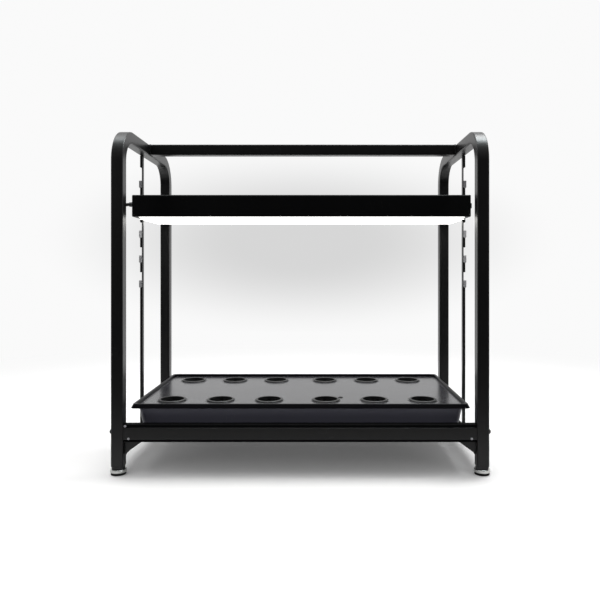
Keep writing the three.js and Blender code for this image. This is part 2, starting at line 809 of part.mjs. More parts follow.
// Cord gland in the left end cap, with its tapered strain relief
const glandProfile = [
  [0, -capThickness],
  [glandNeckDiameter / 2, -capThickness],
  [glandNeckDiameter / 2, 0],
  [glandDiameter / 2, 0],
  [glandDiameter / 2, glandFlange],
  [glandDiameter * glandTaperShares.shoulder, glandFlange * glandTaperShares.shoulderRise],
  [cordDiameter * glandTaperShares.tip, glandLength],
  [0, glandLength],
];
const gland = turnedAlongX(glandProfile, glandSides, -1);
gland.translate(-(hoodHalf + touchGap), glandPlace, glandZ);
addMesh('cord_gland', gland, blackPlastic);

// Tray: a tapered bowl with a ledge for the deck and a flared lip, as rings from the outside bottom
// over the lip to the inside bottom
function rectangleRing(halfX, halfY, radius, z) {
  const corner = Math.min(radius, halfX * cornerLimitShare, halfY * cornerLimitShare);
  const outline = roundedRectangle(2 * halfX, 2 * halfY, corner, cornerSteps);
  return outline.map((p) => new THREE.Vector3(p.x, p.y, z));
}

const wallInsetAt = (z) => ledgeInset - trayWall + (ledgeTop - trayWall - z) * trayDraftShare;

function trayRing(inset, z, corner = trayCornerRadius) {
  return rectangleRing(trayHalfX - inset, trayHalfY - inset, corner, z);
}

function tray() {
  const lipRing = (inset, z) => trayRing(inset, z, lipCornerRadius);
  const floorTop = trayBase + trayWall;
  const underLip = trayTop - trayWall;
  const underLedge = ledgeTop - trayWall;
  const footRound = trayFootRadius * trayFootShare;
  const rings = [
    trayRing(wallInsetAt(trayBase) + trayFootRadius, trayBase),
    trayRing(wallInsetAt(trayBase) + footRound, trayBase + footRound),
    trayRing(wallInsetAt(trayBase + trayFootRadius), trayBase + trayFootRadius),
    trayRing(wallInsetAt(underLedge), underLedge),
    trayRing(lipWidth - trayWall, underLedge),
    trayRing(lipWidth - trayWall, underLip),
    lipRing(lipFlare + trayWall, underLip),
    lipRing(trayWall, trayTop - lipDrop),
    lipRing(0, trayTop - lipDrop),
    lipRing(lipFlare, trayTop - lipRound),
    lipRing(lipFlare + lipRound, trayTop),
    trayRing(lipWidth - lipRound, trayTop),
    trayRing(lipWidth, trayTop - lipRound),
    trayRing(lipWidth, ledgeTop),
    trayRing(ledgeInset, ledgeTop),
    trayRing(wallInsetAt(floorTop + trayFootRadius) + trayWall, floorTop + trayFootRadius),
    trayRing(wallInsetAt(floorTop) + trayWall + trayFootRadius, floorTop),
  ];
  return ringSolid(rings);
}

addMesh('tray', tray(), trayPlastic);

// Planting deck: a plate on the tray's ledge with a locating skirt and a hole for each pot
const skirtInset = ledgeInset + slideGap + deckSkirt * trayDraftShare;
const potHoleDiameter = potTopDiameter + 2 * slideGap;
const potPlaces = [];
for (const [rowName, row] of [['front', -1], ['rear', 1]]) {
  for (let i = 0; i < 2 * potsPerHalfRow; i += 1) {
    const fromMiddle = i < potsPerHalfRow ? potsPerHalfRow - 1 - i : i - potsPerHalfRow;
    const side = i < potsPerHalfRow ? -1 : 1;
    const x = side * 2 * deckHalfX * (potMiddleShare / 2 + potPitchShare * fromMiddle) + potShift;
    const y = row * 2 * deckHalfY * potRowShare;
    potPlaces.push({ name: `net_pot_${rowName}_${i + 1}`, x, y });
  }
}

function deck() {
  const plate = ringSolid([
    rectangleRing(deckHalfX, deckHalfY, trayCornerRadius, deckBase),
    rectangleRing(deckHalfX, deckHalfY, trayCornerRadius, deckTop),
  ]);
  const skirtRing = (inset, z) => trayRing(skirtInset + inset, z);
  const middle = (deckBase + deckTop) / 2;
  const skirt = ringSolid([
    skirtRing(0, middle), skirtRing(0, deckBase - deckSkirt),
    skirtRing(deckThickness, deckBase - deckSkirt), skirtRing(deckThickness, middle),
  ], true);
  let solid = solidOf(plate).add(solidOf(skirt));
  for (const { x, y } of potPlaces) {
    const low = deckBase - deckSkirt - cutOverrun;
    solid = solid.subtract(solidOf(rodAlongZ(potHoleDiameter, low, deckTop + cutOverrun, x, y)));
  }
  return geometryOf(solid);
}

addMesh('planting_deck', deck(), deckPlastic);

// Net pots: tapered cups that hang in the deck by their rims
const potRimTop = deckTop + touchGap + potRimHeight;
const potFloor = potRimTop - potHeight;
const potTopRadius = potTopDiameter / 2;
const potBaseRadius = potBaseDiameter / 2;
const potRimRound = potRimHeight * potRimRoundShare;
const potProfile = [
  [0, potFloor],
  [potBaseRadius, potFloor],
  [potTopRadius, deckTop - deckThickness],
  [potTopRadius, deckTop + touchGap],
  [potRimDiameter / 2, deckTop + touchGap],
  [potRimDiameter / 2, potRimTop - potRimRound],
  [potRimDiameter / 2 - potRimRound, potRimTop],
  [potTopRadius - potWall, potRimTop],
  [potBaseRadius - potWall, potFloor + potWall],
  [0, potFloor + potWall],
];

// Tall slots through opposite walls, below the deck
function netPot() {
  let pot = solidOf(turned(potProfile, potSides));
  const low = potFloor + potHeight * potSlotLowShare;
  const high = potFloor + potHeight * potSlotHighShare;
  for (let i = 0; i < potSlotPairs; i += 1) {
    const slot = blockBetween(
      -potRimDiameter, potRimDiameter, -potSlotWidth / 2, potSlotWidth / 2, low, high,
    );
    pot = pot.subtract(solidOf(slot.rotateZ(i * Math.PI / potSlotPairs)));
  }
  return geometryOf(pot);
}

for (const { name, x, y } of potPlaces) {
  addMesh(name, netPot().translate(x, y, 0), blackPlastic);
}

// Power cord: from the gland down to the floor and along it to the coil behind the shelf
const cordRadius = cordDiameter / 2;
const coilCentre = new THREE.Vector3(coilPlaceX, coilPlaceY, cordRadius + tieSheet + touchGap);
const coilOuterRadius = coilMeanRadius + coilPitch * coilTurns / 4;
const cordRoute = [
  [-307, -32, 438.6],
  [-312, -32, 438.2],
  [-318.5, -32, 435.6],
  [-324.5, -32, 430.4],
  [-328.8, -32, 422.5],
  [-330.6, -32, 411],
  [-331, -32, 370],
  [-331.2, -32, 300],
  [-331.2, -32, 220],
  [-331.2, -32, 140],
  [-331, -31.8, 70],
  [-330.8, -31, 34],
  [-330.6, -28.2, 20],
  [-330.6, -21, 9],
  [-330.6, -10, 3.8],
  [-330.8, 6, 3],
  [-331.5, 50, 3],
  [-331.3, 90, 3],
  [-331, 121, 3],
  [-328.8, 136.5, 3],
  [-322.9, 150.9, 3],
  [-313.4, 163.2, 3],
  [-301, 172.7, 3],
  [-286.4, 178.7, 3],
  [-270, 180.75, 3.3],
  [-245, 180.75, 4],
  [-216, 180.75, 4.3],
  [-194, 180.75, 4.3],
];
const cordLine = new THREE.CatmullRomCurve3(cordRoute.map((p) => new THREE.Vector3(...p)));
const cordSection = new THREE.Shape(
  Array.from({ length: cordSides }, (_, i) => {
    const angle = (i + 0.5) * 2 * Math.PI / cordSides;
    return new THREE.Vector2(cordRadius * Math.cos(angle), cordRadius * Math.sin(angle));
  }),
);
const cordTube = new THREE.ExtrudeGeometry(cordSection, {
  steps: cordSteps, bevelEnabled: false, extrudePath: cordLine,
});
addMesh('power_cord', cordTube, cordRubber);

// Coil: one tube that spirals in on the lower layer, climbs where it reverses and spirals out again
function coilPoint(turn) {
  const half = coilTurns / 2;
  const radius = coilOuterRadius - coilPitch * Math.min(turn, coilTurns - turn);
  const climbHalf = coilClimbShare / 2;
  const rise = THREE.MathUtils.smoothstep(turn, half - climbHalf, half + climbHalf) * coilPitch;
  const angle = (turn - coilStartShare) * 2 * Math.PI;
  return new THREE.Vector3(radius * Math.cos(angle), radius * Math.sin(angle), rise).add(coilCentre);
}

function coilLine() {
  const points = [];
  const start = coilPoint(0);
  for (let s = coilLeadSteps; s > 0; s -= 1) {
    points.push(start.clone().add(new THREE.Vector3(-coilLead * s / coilLeadSteps, 0, 0)));
  }
  points[0].x += touchGap;
  const steps = coilTurns * coilStepsPerTurn;
  for (let s = 0; s <= steps; s += 1) {
    points.push(coilPoint(s / coilStepsPerTurn));
  }
  const end = coilPoint(coilTurns);
  points.push(end.clone().add(new THREE.Vector3(coilTail / 2, 0, 0)));
  points.push(end.clone().add(new THREE.Vector3(coilTail, 0, 0)));
  return points;
}

// A tube of few sides round a line of points, each ring square to the line and level with the floor
function tubeRound(points, radius, sides) {
  const rings = points.map((point, i) => {
    const before = points[Math.max(i - 1, 0)];
    const after = points[Math.min(i + 1, points.length - 1)];
    const forward = new THREE.Vector3().subVectors(after, before).normalize();
    const across = new THREE.Vector3(0, 0, 1).cross(forward).normalize();
    const up = new THREE.Vector3().crossVectors(forward, across);
    return Array.from({ length: sides }, (_, k) => {
      const angle = (k + 0.5) * 2 * Math.PI / sides;
      return point.clone()
        .addScaledVector(across, radius * Math.cos(angle))
        .addScaledVector(up, radius * Math.sin(angle));
    });
  });
  return ringSolid(rings);
}

// The least distance between stretches of a line that are more than a few diameters apart along it
function leastSelfGap(points, diameter) {
  let least = Infinity;
  for (let i = 0; i < points.length; i += 1) {
    let along = 0;
    for (let j = i + 1; j < points.length; j += 1) {
      along += points[j].distanceTo(points[j - 1]);
      if (along > diameter * selfGapShare) {
        least = Math.min(least, points[i].distanceTo(points[j]) - diameter);
      }
    }
  }
  return least;
}

const coilPoints = coilLine();
console.log(`coil: least gap to itself ${leastSelfGap(coilPoints, cordDiameter).toFixed(2)} mm`);
addMesh('cord_coil', tubeRound(coilPoints, cordRadius, coilSides), cordRubber);

// Mains plug: a moulded body with a tapered neck and two flat blades
function mainsPlug() {
  const end = coilPoint(coilTurns);
  const axisZ = end.z;
  const neckStart = end.x + coilTail + touchGap;
  const bodyStart = neckStart + plugNeckLength;
  const bodyEnd = bodyStart + plugLength;
  const neckProfile = [
    [0, 0],
    [plugNeckDiameter / 2 * plugNeckShare, 0],
    [plugNeckDiameter / 2, plugNeckLength + plugCorner],
    [0, plugNeckLength + plugCorner],
  ];
  const neck = solidOf(turnedAlongX(neckProfile, plugNeckSides, 1).translate(neckStart, end.y, axisZ));
  const section = roundedRectangle(plugWidth, 2 * axisZ, plugCorner);
  let plug = neck.add(solidOf(barAlongX(section, end.y, axisZ, bodyStart, bodyEnd)));
  for (const side of [-1, 1]) {
    const y = end.y + side * bladeSpacing / 2;
    const blade = blockBetween(
      bodyEnd - cutOverrun, bodyEnd + bladeLength, y - bladeThickness / 2, y + bladeThickness / 2,
      axisZ - bladeWidth / 2, axisZ + bladeWidth / 2,
    );
    plug = plug.add(solidOf(blade));
  }
  return geometryOf(plug);
}

addMesh('mains_plug', mainsPlug(), cordRubber);

// Tie round both layers of the coil, on the side where the inner loop reverses
function cordTie() {
  const inner = coilOuterRadius - coilPitch * coilTurns / 2 - cordRadius - slideGap;
  const outer = coilPoint(coilTurns - 0.5).distanceTo(coilCentre.clone().setZ(coilPoint(coilTurns).z));
  const width = outer + cordRadius + slideGap - inner;
  const height = coilPitch + 2 * (cordRadius + touchGap);
  const middleZ = coilCentre.z + coilPitch / 2;
  const radial = new THREE.Vector3(0, 1, 0);
  const along = new THREE.Vector3(1, 0, 0);
  const up = new THREE.Vector3(0, 0, 1);
  const centre = new THREE.Vector3(coilCentre.x, coilCentre.y + inner + width / 2, middleZ);
  const stations = [-1, 1].map((end) => {
    return { centre: centre.clone().addScaledVector(along, end * tieWidth / 2), across: radial, up };
  });
  const band = roundedRectangle(width + 2 * tieSheet, height + 2 * tieSheet, cordRadius);
  const opening = roundedRectangle(width, height, cordRadius);
  return ringSolid([...sweptRings(stations, band), ...sweptRings(stations, opening).reverse()], true);
}

addMesh('cord_tie', cordTie(), rubber);

export default shelf;
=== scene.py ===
"""The looks of a tabletop grow shelf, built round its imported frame.

Metres, X to the right, Y to the back, Z up, origin on the floor under the middle of the frame.
Each sub-assembly is a class. New shapes are surfaces worked out as whole arrays of points.
"""
from __future__ import annotations

import functools
import logging
import math
from collections.abc import Sequence
from dataclasses import dataclass
from enum import Enum

import bmesh
import bpy
import numpy as np
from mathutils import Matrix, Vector


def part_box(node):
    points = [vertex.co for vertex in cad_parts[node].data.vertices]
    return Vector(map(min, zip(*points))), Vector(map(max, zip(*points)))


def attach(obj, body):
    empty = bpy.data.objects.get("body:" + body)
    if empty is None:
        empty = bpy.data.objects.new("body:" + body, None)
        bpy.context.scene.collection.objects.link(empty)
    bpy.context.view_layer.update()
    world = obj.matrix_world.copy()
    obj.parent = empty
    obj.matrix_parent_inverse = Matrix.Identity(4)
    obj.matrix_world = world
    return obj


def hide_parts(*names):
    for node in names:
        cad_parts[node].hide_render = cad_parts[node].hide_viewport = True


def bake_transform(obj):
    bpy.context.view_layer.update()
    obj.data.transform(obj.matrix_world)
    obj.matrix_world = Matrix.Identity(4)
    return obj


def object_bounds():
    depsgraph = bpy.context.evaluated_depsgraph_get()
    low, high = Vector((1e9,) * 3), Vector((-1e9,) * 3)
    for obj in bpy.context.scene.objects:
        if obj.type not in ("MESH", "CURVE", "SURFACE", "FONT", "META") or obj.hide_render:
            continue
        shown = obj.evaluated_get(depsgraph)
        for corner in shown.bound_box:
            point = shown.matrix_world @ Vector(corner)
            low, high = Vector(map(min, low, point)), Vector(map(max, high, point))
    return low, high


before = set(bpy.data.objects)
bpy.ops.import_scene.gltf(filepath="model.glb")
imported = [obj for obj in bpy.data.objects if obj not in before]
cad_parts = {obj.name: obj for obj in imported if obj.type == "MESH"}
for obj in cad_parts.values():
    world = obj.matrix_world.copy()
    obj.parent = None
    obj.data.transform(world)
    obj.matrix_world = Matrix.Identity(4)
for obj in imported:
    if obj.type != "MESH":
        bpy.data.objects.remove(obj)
cad_low, cad_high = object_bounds()

log = logging.getLogger("grow_shelf")

Place = tuple[float, float, float]
Span = tuple[float, float]

MM = 0.001
TOUCH_GAP = 0.3 * MM
POLE = 0.01 * MM  # the radius that stands for a point on the axis of a turned shape
TINY = 1e-9  # a length below this has no direction
MERGE_GAP = 0.002 * MM  # corners of a plain solid that lie closer than this are one
SIDES = {"left": -1, "right": 1}
ENDS = {"front": -1, "rear": 1}
POT_NUMBERS = range(1, 7)
CREASE = 32.0  # edges that turn more than this many degrees stay sharp
FOLD_CREASE = 50.0
RING_CREASE = 60.0
WELD_CREASE = 80.0


class Axis(Enum):
    """The axis that a straight piece runs along."""

    X = 0
    Y = 1
    Z = 2


class Grain(Enum):
    """The fine relief of a finish, as the size of its features in metres and their height in metres."""

    POWDER = (0.9 * MM, 0.035 * MM)
    MOULDED = (0.45 * MM, 0.02 * MM)
    SMOOTH = (4.0 * MM, 0.01 * MM)
    BRUSHED = (0.3 * MM, 0.006 * MM)


# Shader node groups that several finishes share


def linear(color: tuple[int, int, int]) -> tuple[float, float, float, float]:
    """Turns a display colour into the linear colour that a shader takes.

    Args:
        color: red, green and blue from 0 to 255.

    Returns:
        Linear red, green and blue, and an alpha of 1.
    """
    parts = [c / 255 for c in color]
    made = [c / 12.92 if c <= 0.04045 else ((c + 0.055) / 1.055) ** 2.4 for c in parts]
    return (*made, 1.0)


class NodeBuilder:
    """Adds nodes to one shader tree."""

    def __init__(self, tree: bpy.types.NodeTree) -> None:
        """Takes the tree to add to."""
        self.tree = tree

    def feed(self, node: bpy.types.Node, links: dict) -> None:
        """Feeds a node's inputs.

        Args:
            node: the node.
            links: for each input, by name or number, a socket to link or a value to set.
        """
        for key, value in links.items():
            if isinstance(value, bpy.types.NodeSocket):
                self.tree.links.new(value, node.inputs[key])
            else:
                node.inputs[key].default_value = value

    def node(self, kind: str, links: dict | None = None, **settings: object) -> bpy.types.Node:
        """Adds a node.

        Args:
            kind: the node's type without its ShaderNode prefix.
            links: what feeds its inputs, as for feed.
            settings: properties of the node.

        Returns:
            The new node.
        """
        made = self.tree.nodes.new(f"ShaderNode{kind}")
        for key, value in settings.items():
            setattr(made, key, value)
        self.feed(made, links or {})
        return made

    def math(self, operation: str, *values: object, clamp: bool = False) -> bpy.types.NodeSocket:
        """Adds a Math node and returns its output."""
        links = dict(enumerate(values))
        return self.node("Math", links, operation=operation, use_clamp=clamp).outputs[0]

    def vector(self, operation: str, *values: object) -> bpy.types.NodeSocket:
        """Adds a Vector Math node and returns its vector, or its value where that is a length."""
        made = self.node("VectorMath", dict(enumerate(values)), operation=operation)
        return made.outputs["Value" if operation == "LENGTH" else "Vector"]

    def part(self, vector: bpy.types.NodeSocket, axis: Axis) -> bpy.types.NodeSocket:
        """Returns the part of a vector that lies along an axis."""
        return self.node("SeparateXYZ", {0: vector}).outputs[axis.value]

    def mix(self, factor: object, a: object, b: object) -> bpy.types.NodeSocket:
        """Adds a colour Mix node, from a to b by factor, and returns its output."""
        return self.node("Mix", {0: factor, 6: a, 7: b}, data_type="RGBA").outputs[2]

    def ramp(self, value: object, low: float, high: float, start: object,
             end: object) -> bpy.types.NodeSocket:
        """Runs smoothly from start, where the value is low, to end, where it is high."""
        links = {0: value, 1: low, 2: high, 3: start, 4: end}
        return self.node("MapRange", links, interpolation_type="SMOOTHSTEP").outputs[0]

    def band(self, value: object, low: float, high: float) -> bpy.types.NodeSocket:
        """Turns a value into a smooth mask that is 0 at low and 1 at high."""
        return self.ramp(value, low, high, 0.0, 1.0)

    def place(self) -> bpy.types.NodeSocket:
        """Returns the object coordinates, which are places in the shelf's own frame."""
        return self.node("TexCoord").outputs["Object"]

    def noise(self, scale: object, detail: float, at: object = None) -> bpy.types.NodeSocket:
        """Adds a Noise Texture, on object coordinates unless told where, and returns its value."""
        where = self.place() if at is None else at
        return self.node("TexNoise", {"Vector": where, "Scale": scale, "Detail": detail}).outputs[0]


class GroupBuilder(NodeBuilder):
    """Builds one shader node group: its sockets, nodes and links."""

    def __init__(self, name: str, inputs: Sequence[str], outputs: Sequence[str]) -> None:
        """Makes the empty group. A socket named Color holds a colour, and any other a number.

        Args:
            name: the group's name.
            inputs: the names of its input sockets.
            outputs: the names of its output sockets.
        """
        super().__init__(bpy.data.node_groups.new(name, "ShaderNodeTree"))
        for way, labels in (("INPUT", inputs), ("OUTPUT", outputs)):
            for label in labels:
                kind = "NodeSocketColor" if label == "Color" else "NodeSocketFloat"
                self.tree.interface.new_socket(label, in_out=way, socket_type=kind)
        self.source = self.tree.nodes.new("NodeGroupInput").outputs
        self.end = self.tree.nodes.new("NodeGroupOutput")

    def give(self, **values: bpy.types.NodeSocket) -> bpy.types.NodeTree:
        """Feeds the group's outputs by name and returns the finished group."""
        self.feed(self.end, {label.capitalize(): socket for label, socket in values.items()})
        return self.tree

    def give_film(self, mask: object, tint: tuple[int, int, int], dulling: float) -> bpy.types.NodeTree:
        """Ends a group that lays a film over a finish: Amount times the mask tints it and dulls its gloss.

        Args:
            mask: where the film lies.
            tint: the film's display colour.
            dulling: how much the full film adds to the roughness.

        Returns:
            The finished group.
        """
        share = self.math("MULTIPLY", mask, self.source["Amount"], clamp=True)
        color = self.mix(share, self.source["Color"], linear(tint))
        rough = self.math("MULTIPLY", share, dulling)
        rough = self.math("ADD", self.source["Roughness"], rough, clamp=True)
        return self.give(color=color, roughness=rough)


FILM_INPUTS = ("Color", "Roughness", "Amount")
FILM_OUTPUTS = ("Color", "Roughness")


@functools.cache
def surface_grain() -> bpy.types.NodeTree:
    """The fine relief of paint or moulded plastic, with slow changes of tone and gloss.

    Height is fine noise. Tone and gloss are scaled by 1 plus Mottle times a broad noise.

    Returns:
        The group.
    """
    broad_scale, speck_share = 9.0, 0.25
    inputs = ("Color", "Roughness", "Scale", "Mottle")
    group = GroupBuilder("surface_grain", inputs, ("Color", "Roughness", "Height"))
    source = group.source
    fine = group.noise(source["Scale"], 2.0)
    broad = group.noise(broad_scale, 4.0)
    swing = group.math("MULTIPLY", group.math("SUBTRACT", broad, 0.5), source["Mottle"])
    speck = group.math("MULTIPLY", group.math("SUBTRACT", fine, 0.5), speck_share)
    speck = group.math("MULTIPLY", speck, source["Mottle"])
    gain = group.math("ADD", 1.0, group.math("ADD", swing, speck))
    color = group.vector("MULTIPLY", source["Color"], gain)
    rough = group.math("MULTIPLY", source["Roughness"], group.math("ADD", 1.0, swing), clamp=True)
    return group.give(color=color, roughness=rough, height=fine)


@functools.cache
def handling_wear() -> bpy.types.NodeTree:
    """Faint hairline scuffs: thin stretched noise that lightens the tone and dulls the gloss.

    Returns:
        The group.
    """
    hairs = ((0.35, (900.0, 60.0, 60.0)), (1.2, (60.0, 70.0, 800.0)))
    hair_band, patch_band, patch_scale = (0.68, 0.76), (0.48, 0.7), 14.0
    group = GroupBuilder("handling_wear", FILM_INPUTS, FILM_OUTPUTS)
    place = group.place()
    masks = []
    for turn, stretch in hairs:
        links = {"Vector": place, "Rotation": (turn, 0.2, turn), "Scale": stretch}
        lines = group.noise(1.0, 1.0, group.node("Mapping", links).outputs[0])
        masks.append(group.band(lines, *hair_band))
    where = group.band(group.noise(patch_scale, 2.0), *patch_band)
    mask = group.math("MULTIPLY", group.math("MAXIMUM", *masks), where)
    return group.give_film(mask, (150, 150, 152), 0.6)


@functools.cache
def settled_dust() -> bpy.types.NodeTree:
    """A thin film of dust that lies on faces that look up, in soft patches.

    Returns:
        The group.
    """
    upward_band, patch_band, patch_scale = (0.6, 1.0), (0.35, 0.75), 30.0
    group = GroupBuilder("settled_dust", FILM_INPUTS, FILM_OUTPUTS)
    normal = group.node("NewGeometry").outputs["Normal"]
    upward = group.band(group.part(normal, Axis.Z), *upward_band)
    patches = group.band(group.noise(patch_scale, 6.0), *patch_band)
    return group.give_film(group.math("MULTIPLY", upward, patches), (160, 158, 152), 0.5)


@functools.cache
def lamp_rows() -> bpy.types.NodeTree:
    """The glow of an opal sheet over two rows of lamps: a broad light with a soft crest over each row.

    Returns:
        The group.
    """
    broad_level, crest_level = 0.86, 0.14
    group = GroupBuilder("lamp_rows", ("Spread", "Row"), ("Color",))
    across = group.math("ABSOLUTE", group.part(group.place(), Axis.Y))
    off = group.math("ABSOLUTE", group.math("SUBTRACT", across, group.source["Row"]))
    off = group.math("DIVIDE", off, group.source["Spread"])
    crest = group.math("SUBTRACT", 1.0, off, clamp=True)
    level = group.math("ADD", broad_level, group.math("MULTIPLY", crest, crest_level))
    return group.give(color=group.vector("MULTIPLY", linear((255, 254, 250))[:3], level))


@dataclass(frozen=True)
class Finish:
    """One finish of the shelf: its colour, gloss and relief, and the slot that it takes."""

    name: str
    slot: str
    color: tuple[int, int, int]
    roughness: float
    grain: Grain = Grain.MOULDED
    metallic: float = 0.0
    specular: float = 0.5
    mottle: float = 0.25
    wear: float = 0.0
    dust: float = 0.0
    glow: float = 0.0


SATIN_FRAME = Finish("satin_frame_paint", "frame_paint", (11, 11, 12), 0.34, Grain.POWDER,
                     specular=0.4, mottle=0.3, wear=0.08, dust=0.03)
# Near-black hem finish: painted shade, standing for the dark lines of shade along the rails' top and bottom
# edges.
HEM_SHADE_PAINT = Finish("hem_painted_shade", "frame_paint", (4, 4, 5), 0.6, Grain.POWDER,
                   specular=0.04, mottle=0.3)
WELD_PAINT = Finish("painted_weld", "frame_paint", (11, 11, 12), 0.42, Grain.POWDER,
                    specular=0.4, mottle=0.4)
HOOD_PAINT = Finish("hood_paint", "hood_paint", (5, 5, 6), 0.46, Grain.POWDER,
                    specular=0.12, mottle=0.3, wear=0.05, dust=0.02)
BOLT_BLACK = Finish("black_bolt", "black_bolt", (10, 10, 11), 0.4, Grain.SMOOTH,
                    specular=0.25, mottle=0.4, wear=0.2)
SCREW_STEEL = Finish("screw_steel", "driver_case", (175, 175, 180), 0.45, Grain.BRUSHED,
                     metallic=0.2, mottle=0.4, wear=0.2)
# Light grey tab plates: a painted highlight where the bent hook tabs catch the light.
TAB_HIGHLIGHT_STEEL = Finish("tab_painted_highlight", "driver_case", (176, 176, 179), 0.42, Grain.BRUSHED,
                   metallic=0.15, mottle=0.3, wear=0.2)
BLACK_PLASTIC = Finish("black_plastic", "black_plastic", (22, 22, 24), 0.5, mottle=0.3, wear=0.1)
TRAY_PLASTIC = Finish("tray_plastic", "tray_plastic", (100, 100, 113), 0.4,
                      specular=0.4, mottle=0.18, wear=0.12, dust=0.04)
# Near-black lip: a darker copy of the tray plastic, painted shade on the tray's lip.
LIP_SHADE_PLASTIC = Finish("lip_painted_shade", "tray_plastic", (11, 10, 14), 0.3, Grain.SMOOTH,
                     specular=0.1, mottle=0.2)
DECK_PLASTIC = Finish("deck_plastic", "deck_plastic", (46, 46, 50), 0.22, Grain.SMOOTH,
                      specular=0.45, mottle=0.2, wear=0.1)
POT_PLASTIC = Finish("pot_plastic", "pot_plastic", (16, 16, 17), 0.46, mottle=0.3, wear=0.1)
PAD_RUBBER = Finish("pad_rubber", "pad_rubber", (18, 18, 18), 0.82, specular=0.3, mottle=0.35)
BRIGHT_CHROME = Finish("bright_chrome", "foot_chrome", (205, 206, 204), 0.16, Grain.BRUSHED,
                       metallic=1.0, mottle=0.3, wear=0.2)
DRIVER_CASE = Finish("driver_case", "driver_case", (140, 143, 147), 0.36, Grain.BRUSHED,
                     metallic=0.9, mottle=0.4, wear=0.3)
REFLECTOR_WHITE = Finish("reflector_white", "reflector_white", (240, 240, 236), 0.34,
                         Grain.POWDER, mottle=0.06)
BOARD_WHITE = Finish("board_white", "board_white", (232, 233, 227), 0.5, Grain.SMOOTH, mottle=0.06)
LAMP_CHIP = Finish("lamp_chip", "board_white", (250, 228, 150), 0.4, Grain.SMOOTH,
                   mottle=0.05, glow=2.0)
DIFFUSER_LIT = Finish("diffuser_lit", "diffuser_lit", (250, 250, 248), 0.35, Grain.SMOOTH,
                      mottle=0.02, glow=3.2)
CORD_JACKET = Finish("cord_jacket", "cord_jacket", (20, 20, 21), 0.5, Grain.SMOOTH,
                     specular=0.4, mottle=0.3)
BLADE_NICKEL = Finish("blade_nickel", "cord_jacket", (190, 188, 180), 0.22, Grain.BRUSHED,
                      metallic=1.0, mottle=0.3, wear=0.3)

RELIEF_STRENGTH = 0.8
LAMP_ROW = 37 * MM
LAMP_SPREAD = 30 * MM


@functools.cache
def material_of(finish: Finish) -> bpy.types.Material:
    """Builds a finish's material once: grain, wear and dust groups in a row feed one Principled shader.

    Args:
        finish: the finish.

    Returns:
        Its material.
    """
    material = bpy.data.materials.new(finish.name)
    material.use_nodes = True
    build = NodeBuilder(material.node_tree)
    size, height = finish.grain.value
    links = {"Color": linear(finish.color), "Roughness": finish.roughness, "Scale": 1 / size,
             "Mottle": finish.mottle}
    grain = build.node("Group", links, node_tree=surface_grain())
    last = grain.outputs
    for film, amount in ((handling_wear, finish.wear), (settled_dust, finish.dust)):
        if amount:
            links = {"Color": last["Color"], "Roughness": last["Roughness"], "Amount": amount}
            last = build.node("Group", links, node_tree=film()).outputs
    links = {"Distance": height, "Strength": RELIEF_STRENGTH, "Height": grain.outputs["Height"]}
    feeds = {
        "Base Color": last["Color"], "Roughness": last["Roughness"], "Metallic": finish.metallic,
        "Specular IOR Level": finish.specular, "Normal": build.node("Bump", links).outputs["Normal"],
    }
    if finish.glow:
        rows = build.node("Group", {"Spread": LAMP_SPREAD, "Row": LAMP_ROW}, node_tree=lamp_rows())
        feeds |= {"Emission Color": rows.outputs["Color"], "Emission Strength": finish.glow}
    build.feed(build.tree.nodes["Principled BSDF"], feeds)
    return material


# Surfaces as arrays of points


@dataclass(frozen=True)
class Box:
    """The box of a plain solid of the frame."""

    low: Vector
    high: Vector

    @classmethod
    def of(cls, node: str) -> Box:
        """Reads the box of the plain solid with that name."""
        return cls(*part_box(node))

    @property
    def middle(self) -> Place:
        """The middle of the box."""
        return tuple((a + b) / 2 for a, b in zip(self.low, self.high))

    @property
    def size(self) -> Place:
        """The box's width, depth and height."""
        return tuple(b - a for a, b in zip(self.low, self.high))

    def face(self, axis: Axis, side: int) -> float:
        """The place on an axis of the box's high face, where side is 1, or of its low face."""
        return (self.high if side > 0 else self.low)[axis.value]

    def span(self, inset: float = 0.0) -> Span:
        """The box's two ends on X, each drawn in by an inset."""
        return self.low.x + inset, self.high.x - inset


@dataclass
class Surface:
    """Closed shells as an array of points and a list of faces, each a list of point numbers."""

    points: np.ndarray
    faces: list[list[int]]

    def moved(self, x: float = 0.0, y: float = 0.0, z: float = 0.0) -> Surface:
        """Returns the surface moved by a distance along each axis."""
        return Surface(self.points + np.array([x, y, z]), self.faces)


def joined(surfaces: Sequence[Surface]) -> Surface:
    """Puts several surfaces into one, as separate shells.

    Args:
        surfaces: the surfaces.

    Returns:
        One surface that holds all their shells.
    """
    starts = np.cumsum([0] + [len(s.points) for s in surfaces[:-1]])
    faces = [[i + int(start) for i in face] for s, start in zip(surfaces, starts) for face in s.faces]
    return Surface(np.concatenate([s.points for s in surfaces]), faces)


def loft(rings: np.ndarray, closed_path: bool = False) -> Surface:
    """Joins rings of points into a shell: P(u, v) is point v of ring u, and v runs right round.

    Args:
        rings: an array of shape (rings, points in each, 3).
        closed_path: the last ring joins the first one. Otherwise both end rings are closed by a face.

    Returns:
        The shell.
    """
    count, around = rings.shape[:2]
    u = np.arange(count if closed_path else count - 1)[:, None]
    v = np.arange(around)[None, :]
    ahead, beside = (u + 1) % count, (v + 1) % around
    corners = [u * around + v, u * around + beside, ahead * around + beside, ahead * around + v]
    faces = np.stack(corners, axis=-1).reshape(-1, 4).tolist()
    if not closed_path:
        faces.append(list(range(around))[::-1])
        faces.append(list(range((count - 1) * around, count * around)))
    return Surface(rings.reshape(-1, 3), faces)


def angles(sides: int) -> np.ndarray:
    """Evenly spaced angles of a full turn, from 0."""
    return np.arange(sides) * 2 * math.pi / sides


def circle(sides: int) -> np.ndarray:
    """Evenly spaced points (cos a, sin a) of a circle of radius 1."""
    return np.stack([np.cos(angles(sides)), np.sin(angles(sides))], axis=1)


